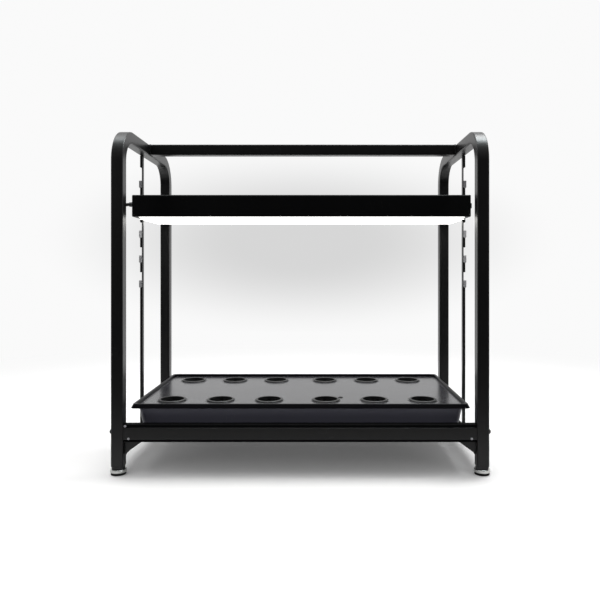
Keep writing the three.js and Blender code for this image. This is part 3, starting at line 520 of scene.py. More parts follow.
def hexagon(sides: int) -> np.ndarray:
    """Points of a hexagon round that circle: each is divided by the cosine of its angle off a flat."""
    off = (angles(sides) + math.pi / 6) % (math.pi / 3) - math.pi / 6
    return circle(sides) / np.cos(off)[:, None]


def rounded_rectangle(width: float, height: float, radius: float, steps: int = 5) -> np.ndarray:
    """The outline of a rectangle with a quarter circle at each corner.

    Args:
        width: its size along the first coordinate.
        height: its size along the second coordinate.
        radius: the corners' radius, which is cut to what fits.
        steps: pieces in each quarter circle.

    Returns:
        An array of points of two coordinates.
    """
    radius = max(min(radius, width / 2, height / 2), POLE)
    quarter = np.linspace(0, math.pi / 2, steps + 1)
    turn = (np.arange(4)[:, None] * math.pi / 2 + quarter[None, :]).ravel()
    middle_x = np.repeat([1, -1, -1, 1], steps + 1) * (width / 2 - radius)
    middle_y = np.repeat([1, 1, -1, -1], steps + 1) * (height / 2 - radius)
    return np.stack([middle_x + radius * np.cos(turn), middle_y + radius * np.sin(turn)], axis=1)


def along(axis: Axis, flat: np.ndarray, place: float) -> np.ndarray:
    """Lays a flat outline square to an axis.

    Args:
        axis: the axis.
        flat: the outline. Its two coordinates take the other two axes, in their order.
        place: where on the axis it lies.

    Returns:
        The outline's points in space.
    """
    made = np.full((len(flat), 3), place, float)
    made[:, [i for i in range(3) if i != axis.value]] = flat
    return made


def prism(axis: Axis, flat: np.ndarray, places: Sequence[float]) -> Surface:
    """Carries an outline along an axis, with a ring at each place: P(u, v) = flat(v) at place(u)."""
    return loft(np.array([along(axis, flat, place) for place in places]))


def bar(axis: Axis, size: Span, ends: Span, corner: float, edge: float, steps: int = 5) -> Surface:
    """A straight bar of rounded rectangular section whose end edges are rounded too.

    Near each end the section is drawn in by edge * (1 - sin t) while it moves out by edge * (1 - cos t).

    Args:
        axis: the axis that it runs along.
        size: the section's two sizes.
        ends: where it starts and ends.
        corner: the radius of the section's corners.
        edge: the radius of the end edges.
        steps: pieces in each corner.

    Returns:
        The bar, with the middle of its section on the axis.
    """
    turn = np.linspace(0, math.pi / 2, 4)
    rise, fall = edge * (1 - np.sin(turn)), edge * (1 - np.cos(turn))
    inset = np.concatenate([rise, fall])
    places = np.concatenate([ends[0] + fall, ends[1] - rise])
    rings = [
        along(axis, rounded_rectangle(size[0] - 2 * i, size[1] - 2 * i, corner - i, steps), p)
        for i, p in zip(inset, places)
    ]
    return loft(np.array(rings))


def box_between(low: Place, high: Place, edge: float) -> Surface:
    """A box with rounded edges between two corners.

    Args:
        low: its lowest corner.
        high: its highest corner.
        edge: the radius of its edges.

    Returns:
        The box.
    """
    size = (high[0] - low[0], high[1] - low[1])
    made = bar(Axis.Z, size, (low[2], high[2]), edge, edge, 2)
    return made.moved((low[0] + high[0]) / 2, (low[1] + high[1]) / 2)


def turned(profile: Sequence[Span], sides: int = 40, axis: Axis = Axis.Z, way: int = 1) -> Surface:
    """A turned shape: each [radius, height] pair becomes a circle at way times height on the axis."""
    ring = circle(sides)
    return loft(np.array([along(axis, ring * max(r, POLE), way * h) for r, h in profile]))


def rounded_profile(corners: Sequence[Place], steps: int = 4) -> list[Span]:
    """Rounds the inner corners of a profile.

    A round is a quadratic curve from one point to another, each that far from the corner.

    Args:
        corners: radius, height and the size of the round of each corner.
        steps: pieces in each round.

    Returns:
        The profile's pairs of radius and height.
    """
    made = [tuple(corners[0][:2])]
    for before, here, after in zip(corners, corners[1:], corners[2:]):
        corner = np.array(here[:2])
        if here[2] == 0:
            made.append(tuple(corner))
            continue
        toward = [np.array(other[:2]) - corner for other in (before, after)]
        start, end = [corner + d / max(np.hypot(*d), TINY) * here[2] for d in toward]
        t = np.linspace(0, 1, steps + 1)[:, None]
        curve = (1 - t) ** 2 * start + 2 * t * (1 - t) * corner + t**2 * end
        made.extend(tuple(p) for p in curve)
    made.append(tuple(corners[-1][:2]))
    return made


def turned_table(table: Sequence[Place], sides: int, axis: Axis, way: int = 1) -> Surface:
    """A turned shape from a table in millimetres: the radius, height and round of each corner."""
    return turned(rounded_profile(np.array(table) * MM), sides, axis, way)


def sweep(section: np.ndarray, centres: np.ndarray, across: np.ndarray, up: np.ndarray,
          closed_path: bool = False) -> Surface:
    """Carries a section along a path: P(u, v) = centre(u) + x(v) * across(u) + y(v) * up(u).

    Args:
        section: the section's points, of two coordinates.
        centres: the path's stations.
        across: the direction that the section's first coordinate takes at each station.
        up: the direction of its second coordinate.
        closed_path: the last station joins the first one.

    Returns:
        The swept shell.
    """
    first = section[None, :, 0, None] * across[:, None, :]
    second = section[None, :, 1, None] * up[:, None, :]
    return loft(centres[:, None, :] + first + second, closed_path)


def tube(path: np.ndarray, radius: np.ndarray | float, sides: int, closed_path: bool = False) -> Surface:
    """A round tube along a path, with its section kept from twisting.

    At each station the last across direction loses its part along the path, and up is square to both.

    Args:
        path: the stations.
        radius: one radius, or one for each station.
        sides: points round the section.
        closed_path: the last station joins the first one.

    Returns:
        The tube.
    """
    if closed_path:
        forward = np.roll(path, -1, axis=0) - np.roll(path, 1, axis=0)
    else:
        forward = np.gradient(path, axis=0)
    forward = forward / np.linalg.norm(forward, axis=1, keepdims=True)
    seed = np.cross([0.0, 0.0, 1.0], forward[0])
    level = np.linalg.norm(seed)
    across = [seed / level if level > TINY else np.array([1.0, 0.0, 0.0])]
    for ahead in forward[1:]:
        carried = across[-1] - ahead * np.dot(across[-1], ahead)
        across.append(carried / np.linalg.norm(carried))
    across = np.array(across)
    size = np.broadcast_to(np.asarray(radius, float), (len(path),))[:, None]
    return sweep(circle(sides), path, across * size, np.cross(forward, across) * size, closed_path)


def folded_sheet(corners: Sequence[Span], thickness: float, bend: float, steps: int = 4) -> np.ndarray:
    """The outline of a folded sheet: its middle line, with round bends, offset half a thickness each way.

    Args:
        corners: the sharp corners of the sheet's middle line.
        thickness: the sheet's thickness.
        bend: how far from each corner its bend starts.
        steps: pieces in each bend.

    Returns:
        The outline's points, of two coordinates.
    """
    line = np.array(rounded_profile([(x, y, bend) for x, y in corners], steps))
    ahead = np.gradient(line, axis=0)
    ahead = ahead / np.linalg.norm(ahead, axis=1, keepdims=True)
    normal = np.stack([-ahead[:, 1], ahead[:, 0]], axis=1) * thickness / 2
    return np.concatenate([line + normal, (line - normal)[::-1]])


def weld_bead(outline: np.ndarray, radius: float, ripple: float) -> Surface:
    """A weld run round a closed line of points: a thin tube whose radius ripples evenly along it.

    Args:
        outline: the line's points.
        radius: the bead's mean radius.
        ripple: the length of one ripple.

    Returns:
        The bead.
    """
    steps, swing, sides = 5, 0.14, 8
    gap = np.linalg.norm(np.roll(outline, -1, axis=0) - outline, axis=1)
    along_line = np.concatenate([[0], np.cumsum(gap)])
    waves = max(round(along_line[-1] / ripple), 1)
    places = np.linspace(0, along_line[-1], waves * steps, endpoint=False)
    closed = np.concatenate([outline, outline[:1]])
    path = np.stack([np.interp(places, along_line, closed[:, i]) for i in range(3)], axis=1)
    phase = np.arange(len(places)) / steps * 2 * math.pi
    return tube(path, radius * (1 + swing * np.sin(phase)), sides, closed_path=True)


# Pieces


def place_mesh(name: str, mesh: bpy.types.Mesh, crease: float = CREASE) -> bpy.types.Object:
    """Makes an object at the origin from a mesh, smooth but for its sharp edges.

    Args:
        name: the object's name.
        mesh: its mesh.
        crease: edges that turn more than this many degrees stay sharp.

    Returns:
        The object, in the scene.
    """
    mesh.shade_smooth()
    mesh.set_sharp_from_angle(angle=math.radians(crease))
    piece = bpy.data.objects.new(name, mesh)
    bpy.context.scene.collection.objects.link(piece)
    return piece


def keep_flat(piece: bpy.types.Object) -> None:
    """Weights each normal by its faces' areas, so that a broad face stays flat beside its round edges."""
    piece.modifiers.new("flat_faces", "WEIGHTED_NORMAL").keep_sharp = True


def dress(piece: bpy.types.Object, finish: Finish) -> None:
    """Gives a piece its finish's material.

    Args:
        piece: the piece.
        finish: its finish.
    """
    piece.data.materials.clear()
    piece.data.materials.append(material_of(finish))


def settle(piece: bpy.types.Object, finish: Finish, body: str, replaces: Sequence[str] = ()) -> None:
    """Dresses a piece, hides the plain solids that it stands for and lets it ride on its body.

    Args:
        piece: the piece.
        finish: its finish.
        body: the moving body that it belongs to.
        replaces: the plain solids that it stands for.
    """
    dress(piece, finish)
    if replaces:
        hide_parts(*replaces)
    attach(piece, body)
    log.info("%s: %d faces on %s", piece.name, len(piece.data.polygons), body)


def add_object(name: str, surface: Surface, crease: float = CREASE) -> bpy.types.Object:
    """Makes a mesh object from a surface, with its faces turned outwards.

    Args:
        name: the object's name.
        surface: its shape.
        crease: edges that turn more than this many degrees stay sharp.

    Returns:
        The object.
    """
    mesh = bpy.data.meshes.new(name)
    mesh.from_pydata(surface.points.tolist(), [], surface.faces)
    work = bmesh.new()
    work.from_mesh(mesh)
    bmesh.ops.recalc_face_normals(work, faces=work.faces)
    work.to_mesh(mesh)
    work.free()
    piece = place_mesh(name, mesh, crease)
    keep_flat(piece)
    return piece


def add_piece(name: str, surface: Surface, finish: Finish, body: str, replaces: Sequence[str] = (),
              crease: float = CREASE) -> bpy.types.Object:
    """Makes a finished piece that rides on a body.

    Args:
        name: the piece's name.
        surface: its shape.
        finish: its finish.
        body: the moving body that it belongs to.
        replaces: the plain solids that it stands for.
        crease: edges that turn more than this many degrees stay sharp.

    Returns:
        The piece.
    """
    piece = add_object(name, surface, crease)
    settle(piece, finish, body, replaces)
    return piece


def add_softened(node: str, finish: Finish, body: str, edge: float) -> None:
    """Makes a copy of a plain solid with its flat faces merged and its edges rounded.

    Args:
        node: the solid's name.
        finish: the copy's finish.
        body: the body that it rides on.
        edge: the width of the rounded edges.
    """
    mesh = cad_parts[node].data.copy()
    work = bmesh.new()
    work.from_mesh(mesh)
    bmesh.ops.remove_doubles(work, verts=work.verts, dist=MERGE_GAP)
    bmesh.ops.dissolve_limit(work, angle_limit=math.radians(1.0), verts=work.verts, edges=work.edges)
    work.to_mesh(mesh)
    work.free()
    piece = place_mesh(f"{node}_dressed", mesh)
    bevel = piece.modifiers.new("rounded_edges", "BEVEL")
    bevel.width = edge
    bevel.segments = 2
    bevel.limit_method = "ANGLE"
    bevel.angle_limit = math.radians(CREASE)
    keep_flat(piece)
    settle(piece, finish, body, (node,))


@dataclass
class FrameWork:
    """The painted frame: bent side frames, cross tube, shelf rails, panel, gussets, uprights and bolts."""

    tube_size: float = 19 * MM
    corner: float = 2 * MM
    corner_steps: int = 6
    tube_edge: float = 0.1 * MM
    bend_radius: float = 55 * MM
    bend_steps: int = 20
    bead: float = 1.1 * MM
    bead_swell: float = 1 * MM
    bead_overlap: float = 0.66 * MM
    ripple: float = 2.4 * MM
    side_rail_height: float = 10 * MM
    side_rail_lap: float = 1 * MM
    upright_edge: float = 0.2 * MM
    plate_edge: float = 0.5 * MM
    rail_edge: float = 0.3 * MM
    hem_low: float = 3.6 * MM
    hem_high: float = 4.8 * MM
    hem_inset: float = 0.8 * MM
    lowest_tab_share: float = 0.514
    tab_pitch_share: float = 0.0922
    tab_height_share: float = 0.0243
    tab_count: int = 5
    tab_width: float = 5.4 * MM
    tab_reach: float = 1.8 * MM
    tab_sheet: float = 0.25 * MM
    screw_inset: float = 8.4 * MM
    screw_rise: float = 5.8 * MM
    screw_radius: float = 1.9 * MM
    screw_sink: float = 0.2 * MM
    stud_inset: float = 3.1 * MM
    stud_rise: float = 25.5 * MM
    stud_radius: float = 1.9 * MM
    dome_height: float = 0.8 * MM
    dome_round: float = 0.5 * MM
    socket: float = 1.7 * MM
    socket_mouth: float = 2.125 * MM
    socket_floor: float = 1.632 * MM
    socket_depth: float = 1.2 * MM
    shank_radius: float = 2.5 * MM
    shank_round: float = 0.3 * MM
    head_foot_round: float = 0.15 * MM
    head_crown: float = 0.8 * MM
    shoulder_share: float = 0.5
    shoulder_round_share: float = 0.45

    def build(self) -> None:
        """Builds every piece of the frame."""
        for side_name in SIDES:
            self.side_frame(side_name)
            add_softened(f"upright_{side_name}", SATIN_FRAME, "frame", self.upright_edge)
            self.tab_highlights(side_name)
            for end_name in ENDS:
                add_softened(f"gusset_{end_name}_{side_name}", SATIN_FRAME, "frame", self.plate_edge)
                self.bolt(side_name, end_name)
        self.cross_tube()
        for end_name in ENDS:
            self.rail(end_name)
        add_softened("shelf_panel", SATIN_FRAME, "frame", self.plate_edge)

    def section(self, width: float, height: float, swell: float = 0.0) -> np.ndarray:
        """The outline of a tube, or of the weld run round it, whose corners swell."""
        return rounded_rectangle(width, height, self.corner + swell, self.corner_steps)

    def welds(self, name: str, lines: Sequence[np.ndarray]) -> None:
        """Makes one piece of the weld runs along closed lines."""
        beads = [weld_bead(line, self.bead, self.ripple) for line in lines]
        add_piece(name, joined(beads), WELD_PAINT, "frame", crease=WELD_CREASE)

    def side_frame(self, name: str) -> None:
        """One inverted U with its lower rail and the weld runs at the rail's ends.

        The path goes up the front leg, round a quarter circle, over, round another, and down the rear leg.

        Args:
            name: the side.
        """
        box = Box.of(f"side_frame_{name}")
        x = box.middle[0]
        radius = self.bend_radius - self.tube_size / 2
        turn = np.linspace(0, math.pi / 2, self.bend_steps + 1)
        out = np.concatenate([[-1.0], -np.cos(turn), np.cos(turn[::-1]), [1.0]])
        rise = np.concatenate([[0.0], np.sin(turn), np.sin(turn[::-1]), [0.0]])
        half, top = box.high.y - self.bend_radius, box.high.z - self.bend_radius
        shift = np.repeat([-half, half], self.bend_steps + 2)
        centres = np.stack([np.full(len(out), x), shift + out * radius, top + rise * radius], axis=1)
        centres[[0, -1], 2] = box.low.z
        up = np.stack([np.zeros(len(out)), out, rise], axis=1)
        across = np.tile([1.0, 0.0, 0.0], (len(out), 1))
        bent = sweep(self.section(self.tube_size, self.tube_size), centres, across, up)
        rail_z = Box.of("upright_left").low.z - TOUCH_GAP - self.side_rail_height / 2
        inner = box.high.y - self.tube_size
        size, reach = (self.tube_size, self.side_rail_height), inner + self.side_rail_lap
        lower = bar(Axis.Y, size, (-reach, reach), self.corner, self.tube_edge).moved(x=x, z=rail_z)
        node = f"side_frame_{name}"
        add_piece(f"{node}_tube", joined([bent, lower]), SATIN_FRAME, "frame", (node,))
        ring = self.section(*size, self.bead_swell)
        lines = [along(Axis.Y, ring, end * inner) + (x, 0, rail_z) for end in ENDS.values()]
        self.welds(f"{node}_welds", lines)

    def tab_highlights(self, name: str) -> None:
        """A painted highlight on the front face of each hook tab: a thin light plate with its lower outer
        corner cut off.

        Args:
            name: the side.
        """
        box, side = Box.of(f"upright_{name}"), SIDES[name]
        low, length = box.low, box.size[2]
        outer = side * box.face(Axis.X, side)
        inner, height = outer - self.tab_width, length * self.tab_height_share
        flat = np.array([(inner, 0.0), (outer - self.tab_reach, -self.tab_reach), (outer, 0.0),
                         (outer, height), (inner, height)]) * (side, 1)
        plates = []
        for number in range(self.tab_count):
            base = low.z + length * (self.lowest_tab_share + self.tab_pitch_share * number)
            plates.append(prism(Axis.Y, flat + (0, base), (low.y, low.y - self.tab_sheet)))
        add_piece(f"upright_{name}_tab_highlights", joined(plates), TAB_HIGHLIGHT_STEEL, "frame")

    def cross_tube(self) -> None:
        """The tube across the top, with a weld run at each end."""
        box = Box.of("cross_tube")
        z = box.middle[2]
        size = (self.tube_size, self.tube_size)
        body = bar(Axis.X, size, box.span(), self.corner, self.tube_edge).moved(z=z)
        add_piece("cross_tube_bar", body, SATIN_FRAME, "frame", ("cross_tube",))
        ring = self.section(*size, self.bead_swell)
        reach = box.high.x - self.bead_overlap
        lines = [along(Axis.X, ring, side * reach) + (0, 0, z) for side in SIDES.values()]
        self.welds("cross_tube_welds", lines)

    def rail(self, name: str) -> None:
        """A shelf rail: a rounded face bar, a set-back near-black hem that shows above and below it as
        painted shade lines, and its screws.

        Args:
            name: the end.
        """
        node = f"shelf_rail_{name}"
        box = Box.of(node)
        low, high = box.low, box.high
        _, middle, centre = box.middle
        _, depth, full = box.size
        height = full - self.hem_low - self.hem_high
        face_bar = bar(Axis.X, (depth, height), box.span(), self.corner, self.rail_edge)
        face_bar = face_bar.moved(y=middle, z=low.z + self.hem_low + height / 2)
        add_piece(f"{node}_bar", face_bar, SATIN_FRAME, "frame", (node,))
        # The hem's near-black finish is painted shade along the rail's top and bottom edges.
        hem = bar(Axis.X, (depth - 2 * self.hem_inset, full), box.span(), self.corner, self.rail_edge)
        add_piece(f"{node}_hem", hem.moved(y=middle, z=centre), HEM_SHADE_PAINT, "frame")
        face = middle + ENDS[name] * (depth / 2 - self.screw_sink)
        heads = [(self.screw_radius, x, self.screw_rise) for x in box.span(self.screw_inset)]
        heads.append((self.stud_radius, low.x + self.stud_inset, self.stud_rise))
        screws = [self.low_head(radius, ENDS[name]).moved(x, face, low.z + rise)
                  for radius, x, rise in heads]
        add_piece(f"{node}_screws", joined(screws), SCREW_STEEL, "frame")

    def low_head(self, radius: float, end: int) -> Surface:
        """A low domed screw head.

        Args:
            radius: its radius.
            end: the way it looks along Y, 1 or -1.

        Returns:
            The head, with its foot at the origin.
        """
        height = self.dome_height
        corners = [(POLE, 0, 0), (radius, 0, 0), (radius, height, self.dome_round), (POLE, height, 0)]
        return turned(rounded_profile(corners), 20, Axis.Y, end)

    def bolt(self, side_name: str, end_name: str) -> None:
        """A button-head bolt with a hexagonal socket, on the outer face of a leg.

        Args:
            side_name: the side.
            end_name: the end.
        """
        node = f"bolt_{end_name}_{side_name}"
        box, side = Box.of(node), SIDES[side_name]
        _, y, z = box.middle
        radius = box.size[2] / 2
        seat = Box.of(f"side_frame_{side_name}").face(Axis.X, side) + side * TOUCH_GAP
        height = abs(box.face(Axis.X, side) - seat) + self.head_crown
        shank = abs(box.face(Axis.X, -side) - seat)
        profile = rounded_profile([
            (POLE, -shank, 0), (self.shank_radius, -shank, self.shank_round), (self.shank_radius, 0, 0),
            (radius, 0, self.head_foot_round),
            (radius, height * self.shoulder_share, height * self.shoulder_round_share),
            (radius * self.shoulder_share, height, 0), (self.socket_mouth, height, 0),
        ])
        sides = 36
        rings = [along(Axis.X, circle(sides) * r, side * h) for r, h in profile]
        floor = height - self.socket_depth
        for size, place in ((self.socket, height), (self.socket_floor, floor)):
            rings.append(along(Axis.X, hexagon(sides) * size, side * place))
        add_piece(f"{node}_head", loft(np.array(rings)).moved(seat, y, z), BOLT_BLACK, "frame", (node,))


@dataclass
class LevellingFeet:
    """Four levelling feet: a plug in the leg's end, a bright disc on a stem, and a rubber pad."""

    sides: int = 48
    plug_edge: float = 0.4 * MM
    disc_height: float = 5 * MM
    disc_low_round: float = 0.8 * MM
    disc_top_round: float = 1.2 * MM
    collar_share: float = 0.6
    collar: float = 4.6 * MM
    stem_radius: float = 3.8 * MM
    thread_depth: float = 0.2 * MM
    thread_pitch: float = 1.25 * MM
    thread_steps: int = 60
    pad_edge: float = 0.6 * MM
    pad_top_round: float = 0.4 * MM
    groove: float = 0.35 * MM

    def build(self) -> None:
        """Builds the four feet."""
        for side_name in SIDES:
            for end_name in ENDS:
                place = f"{end_name}_{side_name}"
                body = f"foot_{end_name[0]}{side_name[0]}"
                add_softened(f"leg_plug_{place}", BLACK_PLASTIC, "frame", self.plug_edge)
                self.disc(place, body)
                self.pad(place, body)

    def disc(self, place: str, body: str) -> None:
        """The foot's disc with a shallow waist and its threaded stem.

        The stem's radius swings with height, which makes rings that read as a thread.

        Args:
            place: the foot's end and side.
            body: the body that it rides on.
        """
        node = f"foot_{place}"
        box = Box.of(node)
        x, y, _ = box.middle
        radius, base = box.size[0] / 2, box.low.z
        top = base + self.disc_height
        profile = rounded_profile([
            (POLE, base, 0), (radius, base, self.disc_low_round), (radius, top, self.disc_top_round),
            (radius * self.collar_share, top, 0), (self.collar, top, 0),
        ])
        heights = np.linspace(top, box.high.z, self.thread_steps)
        swing = np.cos((heights - top) / self.thread_pitch * 2 * math.pi)
        profile += list(zip(self.stem_radius + self.thread_depth * swing, heights))
        shape = turned(profile, self.sides).moved(x, y)
        add_piece(f"{node}_chrome", shape, BRIGHT_CHROME, body, (node,))

    def pad(self, place: str, body: str) -> None:
        """The rubber pad: a turned disc with a fine groove round its side.

        Args:
            place: the foot's end and side.
            body: the body that it rides on.
        """
        node = f"foot_pad_{place}"
        box = Box.of(node)
        x, y, middle = box.middle
        radius, base, top = box.size[0] / 2, box.low.z, box.high.z
        groove, edge = self.groove, self.pad_edge
        profile = rounded_profile([
            (POLE, base, 0), (radius - edge, base, edge / 3), (radius, base + edge, edge / 2),
            (radius, middle - groove, 0), (radius - groove, middle, 0), (radius, middle + groove, 0),
            (radius, top, self.pad_top_round), (POLE, top, 0),
        ])
        shape = turned(profile, self.sides).moved(x, y)
        add_piece(f"{node}_rubber", shape, PAD_RUBBER, body, (node,))


@dataclass
class LampHood:
    """The lamp hood: folded shell, caps, lit diffuser, reflector, lamp boards, driver, hangers, switch."""

    sheet: float = 1.2 * MM
    sheet_edge: float = 0.2 * MM
    bend: float = 2.2 * MM
    lip: float = 6 * MM
    cap_edge: float = 0.5 * MM
    hanger_edge: float = 0.35 * MM
    ribs: int = 33
    rib_steps: int = 6
    rib_height: float = 0.08 * MM
    # Sizes of the painted glow strips under the shell's lip.
    rim: float = 0.4 * MM
    rim_lap: float = 1 * MM
    rim_reach: float = 40 * MM
    reflector_sheet: float = 0.8 * MM
    reflector_bend: float = 3 * MM
    crown_share: float = 0.62
    board_edge: float = 0.15 * MM
    lamps_per_board: int = 34
    chip: float = 3.0 * MM
    chip_drop: float = 0.7 * MM
    chip_sink: float = 0.1 * MM
    chip_edge: float = 0.2 * MM
    case_corner: float = 2 * MM
    case_edge: float = 0.8 * MM
    flange_edge: float = 0.4 * MM
    flange_reach: float = 8 * MM
    flange_height: float = 2 * MM
    flange_share: float = 0.8
    screw_inset: float = 7 * MM
    screw_rise: float = 6 * MM
    rocker_place_share: float = 0.81
    rocker_proud: float = 3 * MM
    rocker_body: float = 3.2 * MM
    rocker_half_length: float = 7 * MM
    rocker_tilt: float = math.radians(7)
    rocker_hollow: float = 0.22
    rocker_edge: float = 0.5 * MM
    bezel: Span = (19 * MM, 13 * MM)
    bezel_window: Span = (15.2 * MM, 10.2 * MM)
    bezel_corner: float = 1.5 * MM
    window_corner: float = 0.6 * MM
    bezel_taper: float = 0.97
    bezel_sink: float = 0.1 * MM
    bezel_proud: float = 0.9 * MM
    bezel_edge: float = 0.3 * MM
    blind_back: float = 0.58 * MM
    blind_face: float = 0.28 * MM
    blind_edge: float = 0.05 * MM
    knob_stem: float = 2 * MM
    knob_start: float = 2.4 * MM
    knob_foot_share: float = 0.8
    knob_foot_rise: float = 1 * MM
    knob_scallops: int = 10
    scallop_depth: float = 0.05
    knob_sides: int = 80
    gland_neck: float = 4.5 * MM
    gland_sink: float = 3 * MM
    nut_height: Span = (3.2 * MM, 3.8 * MM)
    nut_taper: float = 0.9
    relief_start: float = 4.2 * MM
    relief_root_share: float = 0.7
    relief_tip: float = 4.1 * MM
    relief_ring: float = 0.45 * MM
    relief_rings: int = 6

    # Radius, height and round of each corner of a cap screw's head, in millimetres
    CAP_SCREW = ((0.01, -0.3, 0), (2.4, -0.3, 0), (2.4, 0.9, 0.7), (0.9, 0.9, 0), (0.7, 0.3, 0),
                 (0.01, 0.3, 0))

    # The share of the knob's radius at each place under its tip, in millimetres
    KNOB_GRIP = ((1, 1.2), (0.93, 0.4))
    KNOB_CROWN = ((0.8, 0), (0.4, 0), (0.36, 0.5))

    def build(self) -> None:
        """Builds every piece of the hood."""
        self.shell()
        self.diffuser()
        self.painted_glow_rim()
        self.reflector()
        for end_name in ENDS:
            self.board(end_name)
        self.driver()
        for side_name in SIDES:
            add_softened(f"hood_cap_{side_name}", HOOD_PAINT, "hood", self.cap_edge)
            add_softened(f"hanger_{side_name}", HOOD_PAINT, "hood", self.hanger_edge)
            self.cap_screws(side_name)
            self.thumb_screw(side_name)
        self.switch()
        self.gland()

    def shell(self) -> None:
        """The folded sheet over the lamps, as one outline carried along X."""
        box = Box.of("hood_shell")
        low, high, half = box.low, box.high, self.sheet / 2
        y, base, top = high.y - half, low.z + half, high.z - half
        lip = high.y - self.lip
        corners = [(-lip, base), (-y, base), (-y, top), (y, top), (y, base), (lip, base)]
        outline = folded_sheet(corners, self.sheet, self.bend)
        places = (low.x, *box.span(self.sheet_edge), high.x)
        folded = prism(Axis.X, outline, places)
        add_piece("hood_shell_folded", folded, HOOD_PAINT, "hood", ("hood_shell",), crease=FOLD_CREASE)

    def diffuser(self) -> None:
        """The lit diffuser: a flat sheet whose underside waves across, which makes shallow ribs along X."""
        box = Box.of("diffuser")
        across = np.linspace(box.low.y, box.high.y, self.ribs * self.rib_steps + 1)
        wave = 1 - np.cos(np.linspace(0, self.ribs * 2 * math.pi, len(across)))
        under = np.stack([across, box.low.z + self.rib_height / 2 * wave], axis=1)
        top = np.stack([across[::-1], np.full(len(across), box.high.z)], axis=1)
        ribbed = prism(Axis.X, np.concatenate([under, top]), box.span())
        add_piece("diffuser_ribbed", ribbed, DIFFUSER_LIT, "hood", ("diffuser",))

    def painted_glow_rim(self) -> None:
        """Three glowing strips under the shell's lip, painted light that stands for the glow spilling past
        it: one along its rear, and one at the rear of each end.
        """
        diffuser, shell = Box.of("diffuser").high, Box.of("hood_shell").low
        outside = Box.of("hood_cap_left").low.x
        inside_x, inside_y = diffuser.x - self.rim_lap, diffuser.y - self.lip - self.rim_lap
        base, top, edge = shell.z - self.rim, shell.z, self.rim / 4
        strips = [box_between((outside, inside_y, base), (-outside, -shell.y, top), edge)]
        for start, end in ((outside, -inside_x), (inside_x, -outside)):
            strips.append(box_between((start, -self.rim_reach, base), (end, inside_y, top), edge))
        add_piece("painted_glow_rim", joined(strips), DIFFUSER_LIT, "hood")

    def reflector(self) -> None:
        """The reflector: a folded sheet with a flat crown and sloping sides."""
        box = Box.of("reflector")
        half = self.reflector_sheet / 2
        foot, crown = box.high.y, box.high.y * self.crown_share
        base, top = box.low.z + half, box.high.z - half
        corners = [(-foot + half, base), (-crown, top), (crown, top), (foot - half, base)]
        outline = folded_sheet(corners, self.reflector_sheet, self.reflector_bend)
        folded = prism(Axis.X, outline, box.span())
        add_piece("reflector_folded", folded, REFLECTOR_WHITE, "hood", ("reflector",), crease=FOLD_CREASE)

    def board(self, name: str) -> None:
        """A lamp board and its row of square chips, which a loop of places repeats along X.

        Args:
            name: the end.
        """
        node = f"lamp_board_{name}"
        box = Box.of(node)
        low = box.low
        slab = box_between(tuple(low), tuple(box.high), self.board_edge)
        add_piece(f"{node}_slab", slab, BOARD_WHITE, "hood", (node,))
        middle, half = box.middle[1], self.chip / 2
        one = box_between((-half, middle - half, low.z - self.chip_drop),
                          (half, middle + half, low.z + self.chip_sink), self.chip_edge)
        places = low.x + box.size[0] / self.lamps_per_board * (np.arange(self.lamps_per_board) + 0.5)
        chips = joined([one.moved(x=float(x)) for x in places])
        add_piece(f"{node}_chips", chips, LAMP_CHIP, "hood")

    def driver(self) -> None:
        """The lamp driver: a rounded case with a flange under both its ends."""
        box = Box.of("lamp_driver")
        depth, height = box.size[1:]
        case = bar(Axis.X, (depth, height), box.span(self.flange_reach), self.case_corner, self.case_edge)
        size = (depth * self.flange_share, self.flange_height)
        flange = bar(Axis.X, size, box.span(), self.case_edge, self.flange_edge)
        flange = flange.moved(z=box.low.z + self.flange_height / 2)
        shape = joined([case.moved(z=box.middle[2]), flange])
        add_piece("lamp_driver_case", shape, DRIVER_CASE, "hood", ("lamp_driver",))

    def cap_screws(self, name: str) -> None:
        """Four low pan-head screws that hold an end cap.

        Args:
            name: the side.
        """
        box = Box.of(f"hood_cap_{name}")
        low, high = box.low, box.high
        face = box.face(Axis.X, SIDES[name])
        one = turned_table(self.CAP_SCREW, 24, Axis.X, SIDES[name])
        shapes = [one.moved(face, y, z) for y in (low.y + self.screw_inset, high.y - self.screw_inset)
                  for z in (low.z + self.screw_rise, high.z - self.screw_rise)]
        add_piece(f"hood_cap_{name}_screws", joined(shapes), BOLT_BLACK, "hood")

    def thumb_screw(self, name: str) -> None:
        """A thumb screw: a knob on a stem. The knob's radius swings as it goes round, which scallops it.

        Args:
            name: the side.
        """
        node = f"thumb_screw_{name}"
        box = Box.of(node)
        x, _, z = box.middle
        radius, foot, tip = box.size[2] / 2, box.low.y, box.high.y
        start, plain = foot + self.knob_start, circle(self.knob_sides)
        wave = 1 - np.cos(angles(self.knob_sides) * self.knob_scallops)
        grip = plain * (1 - self.scallop_depth * wave)[:, None]
        stations = [(plain, self.knob_stem, foot), (plain, self.knob_stem, start),
                    (plain, radius * self.knob_foot_share, start),
                    (grip, radius, start + self.knob_foot_rise)]
        for ring, table in ((grip, self.KNOB_GRIP), (plain, self.KNOB_CROWN)):
            stations += [(ring, radius * share, tip - under * MM) for share, under in table]
        shape = loft(np.array([along(Axis.Y, ring * r, y) for ring, r, y in stations]))
        add_piece(f"{node}_knob", shape.moved(x=x, z=z), BLACK_PLASTIC, f"thumb_{name}", (node,))

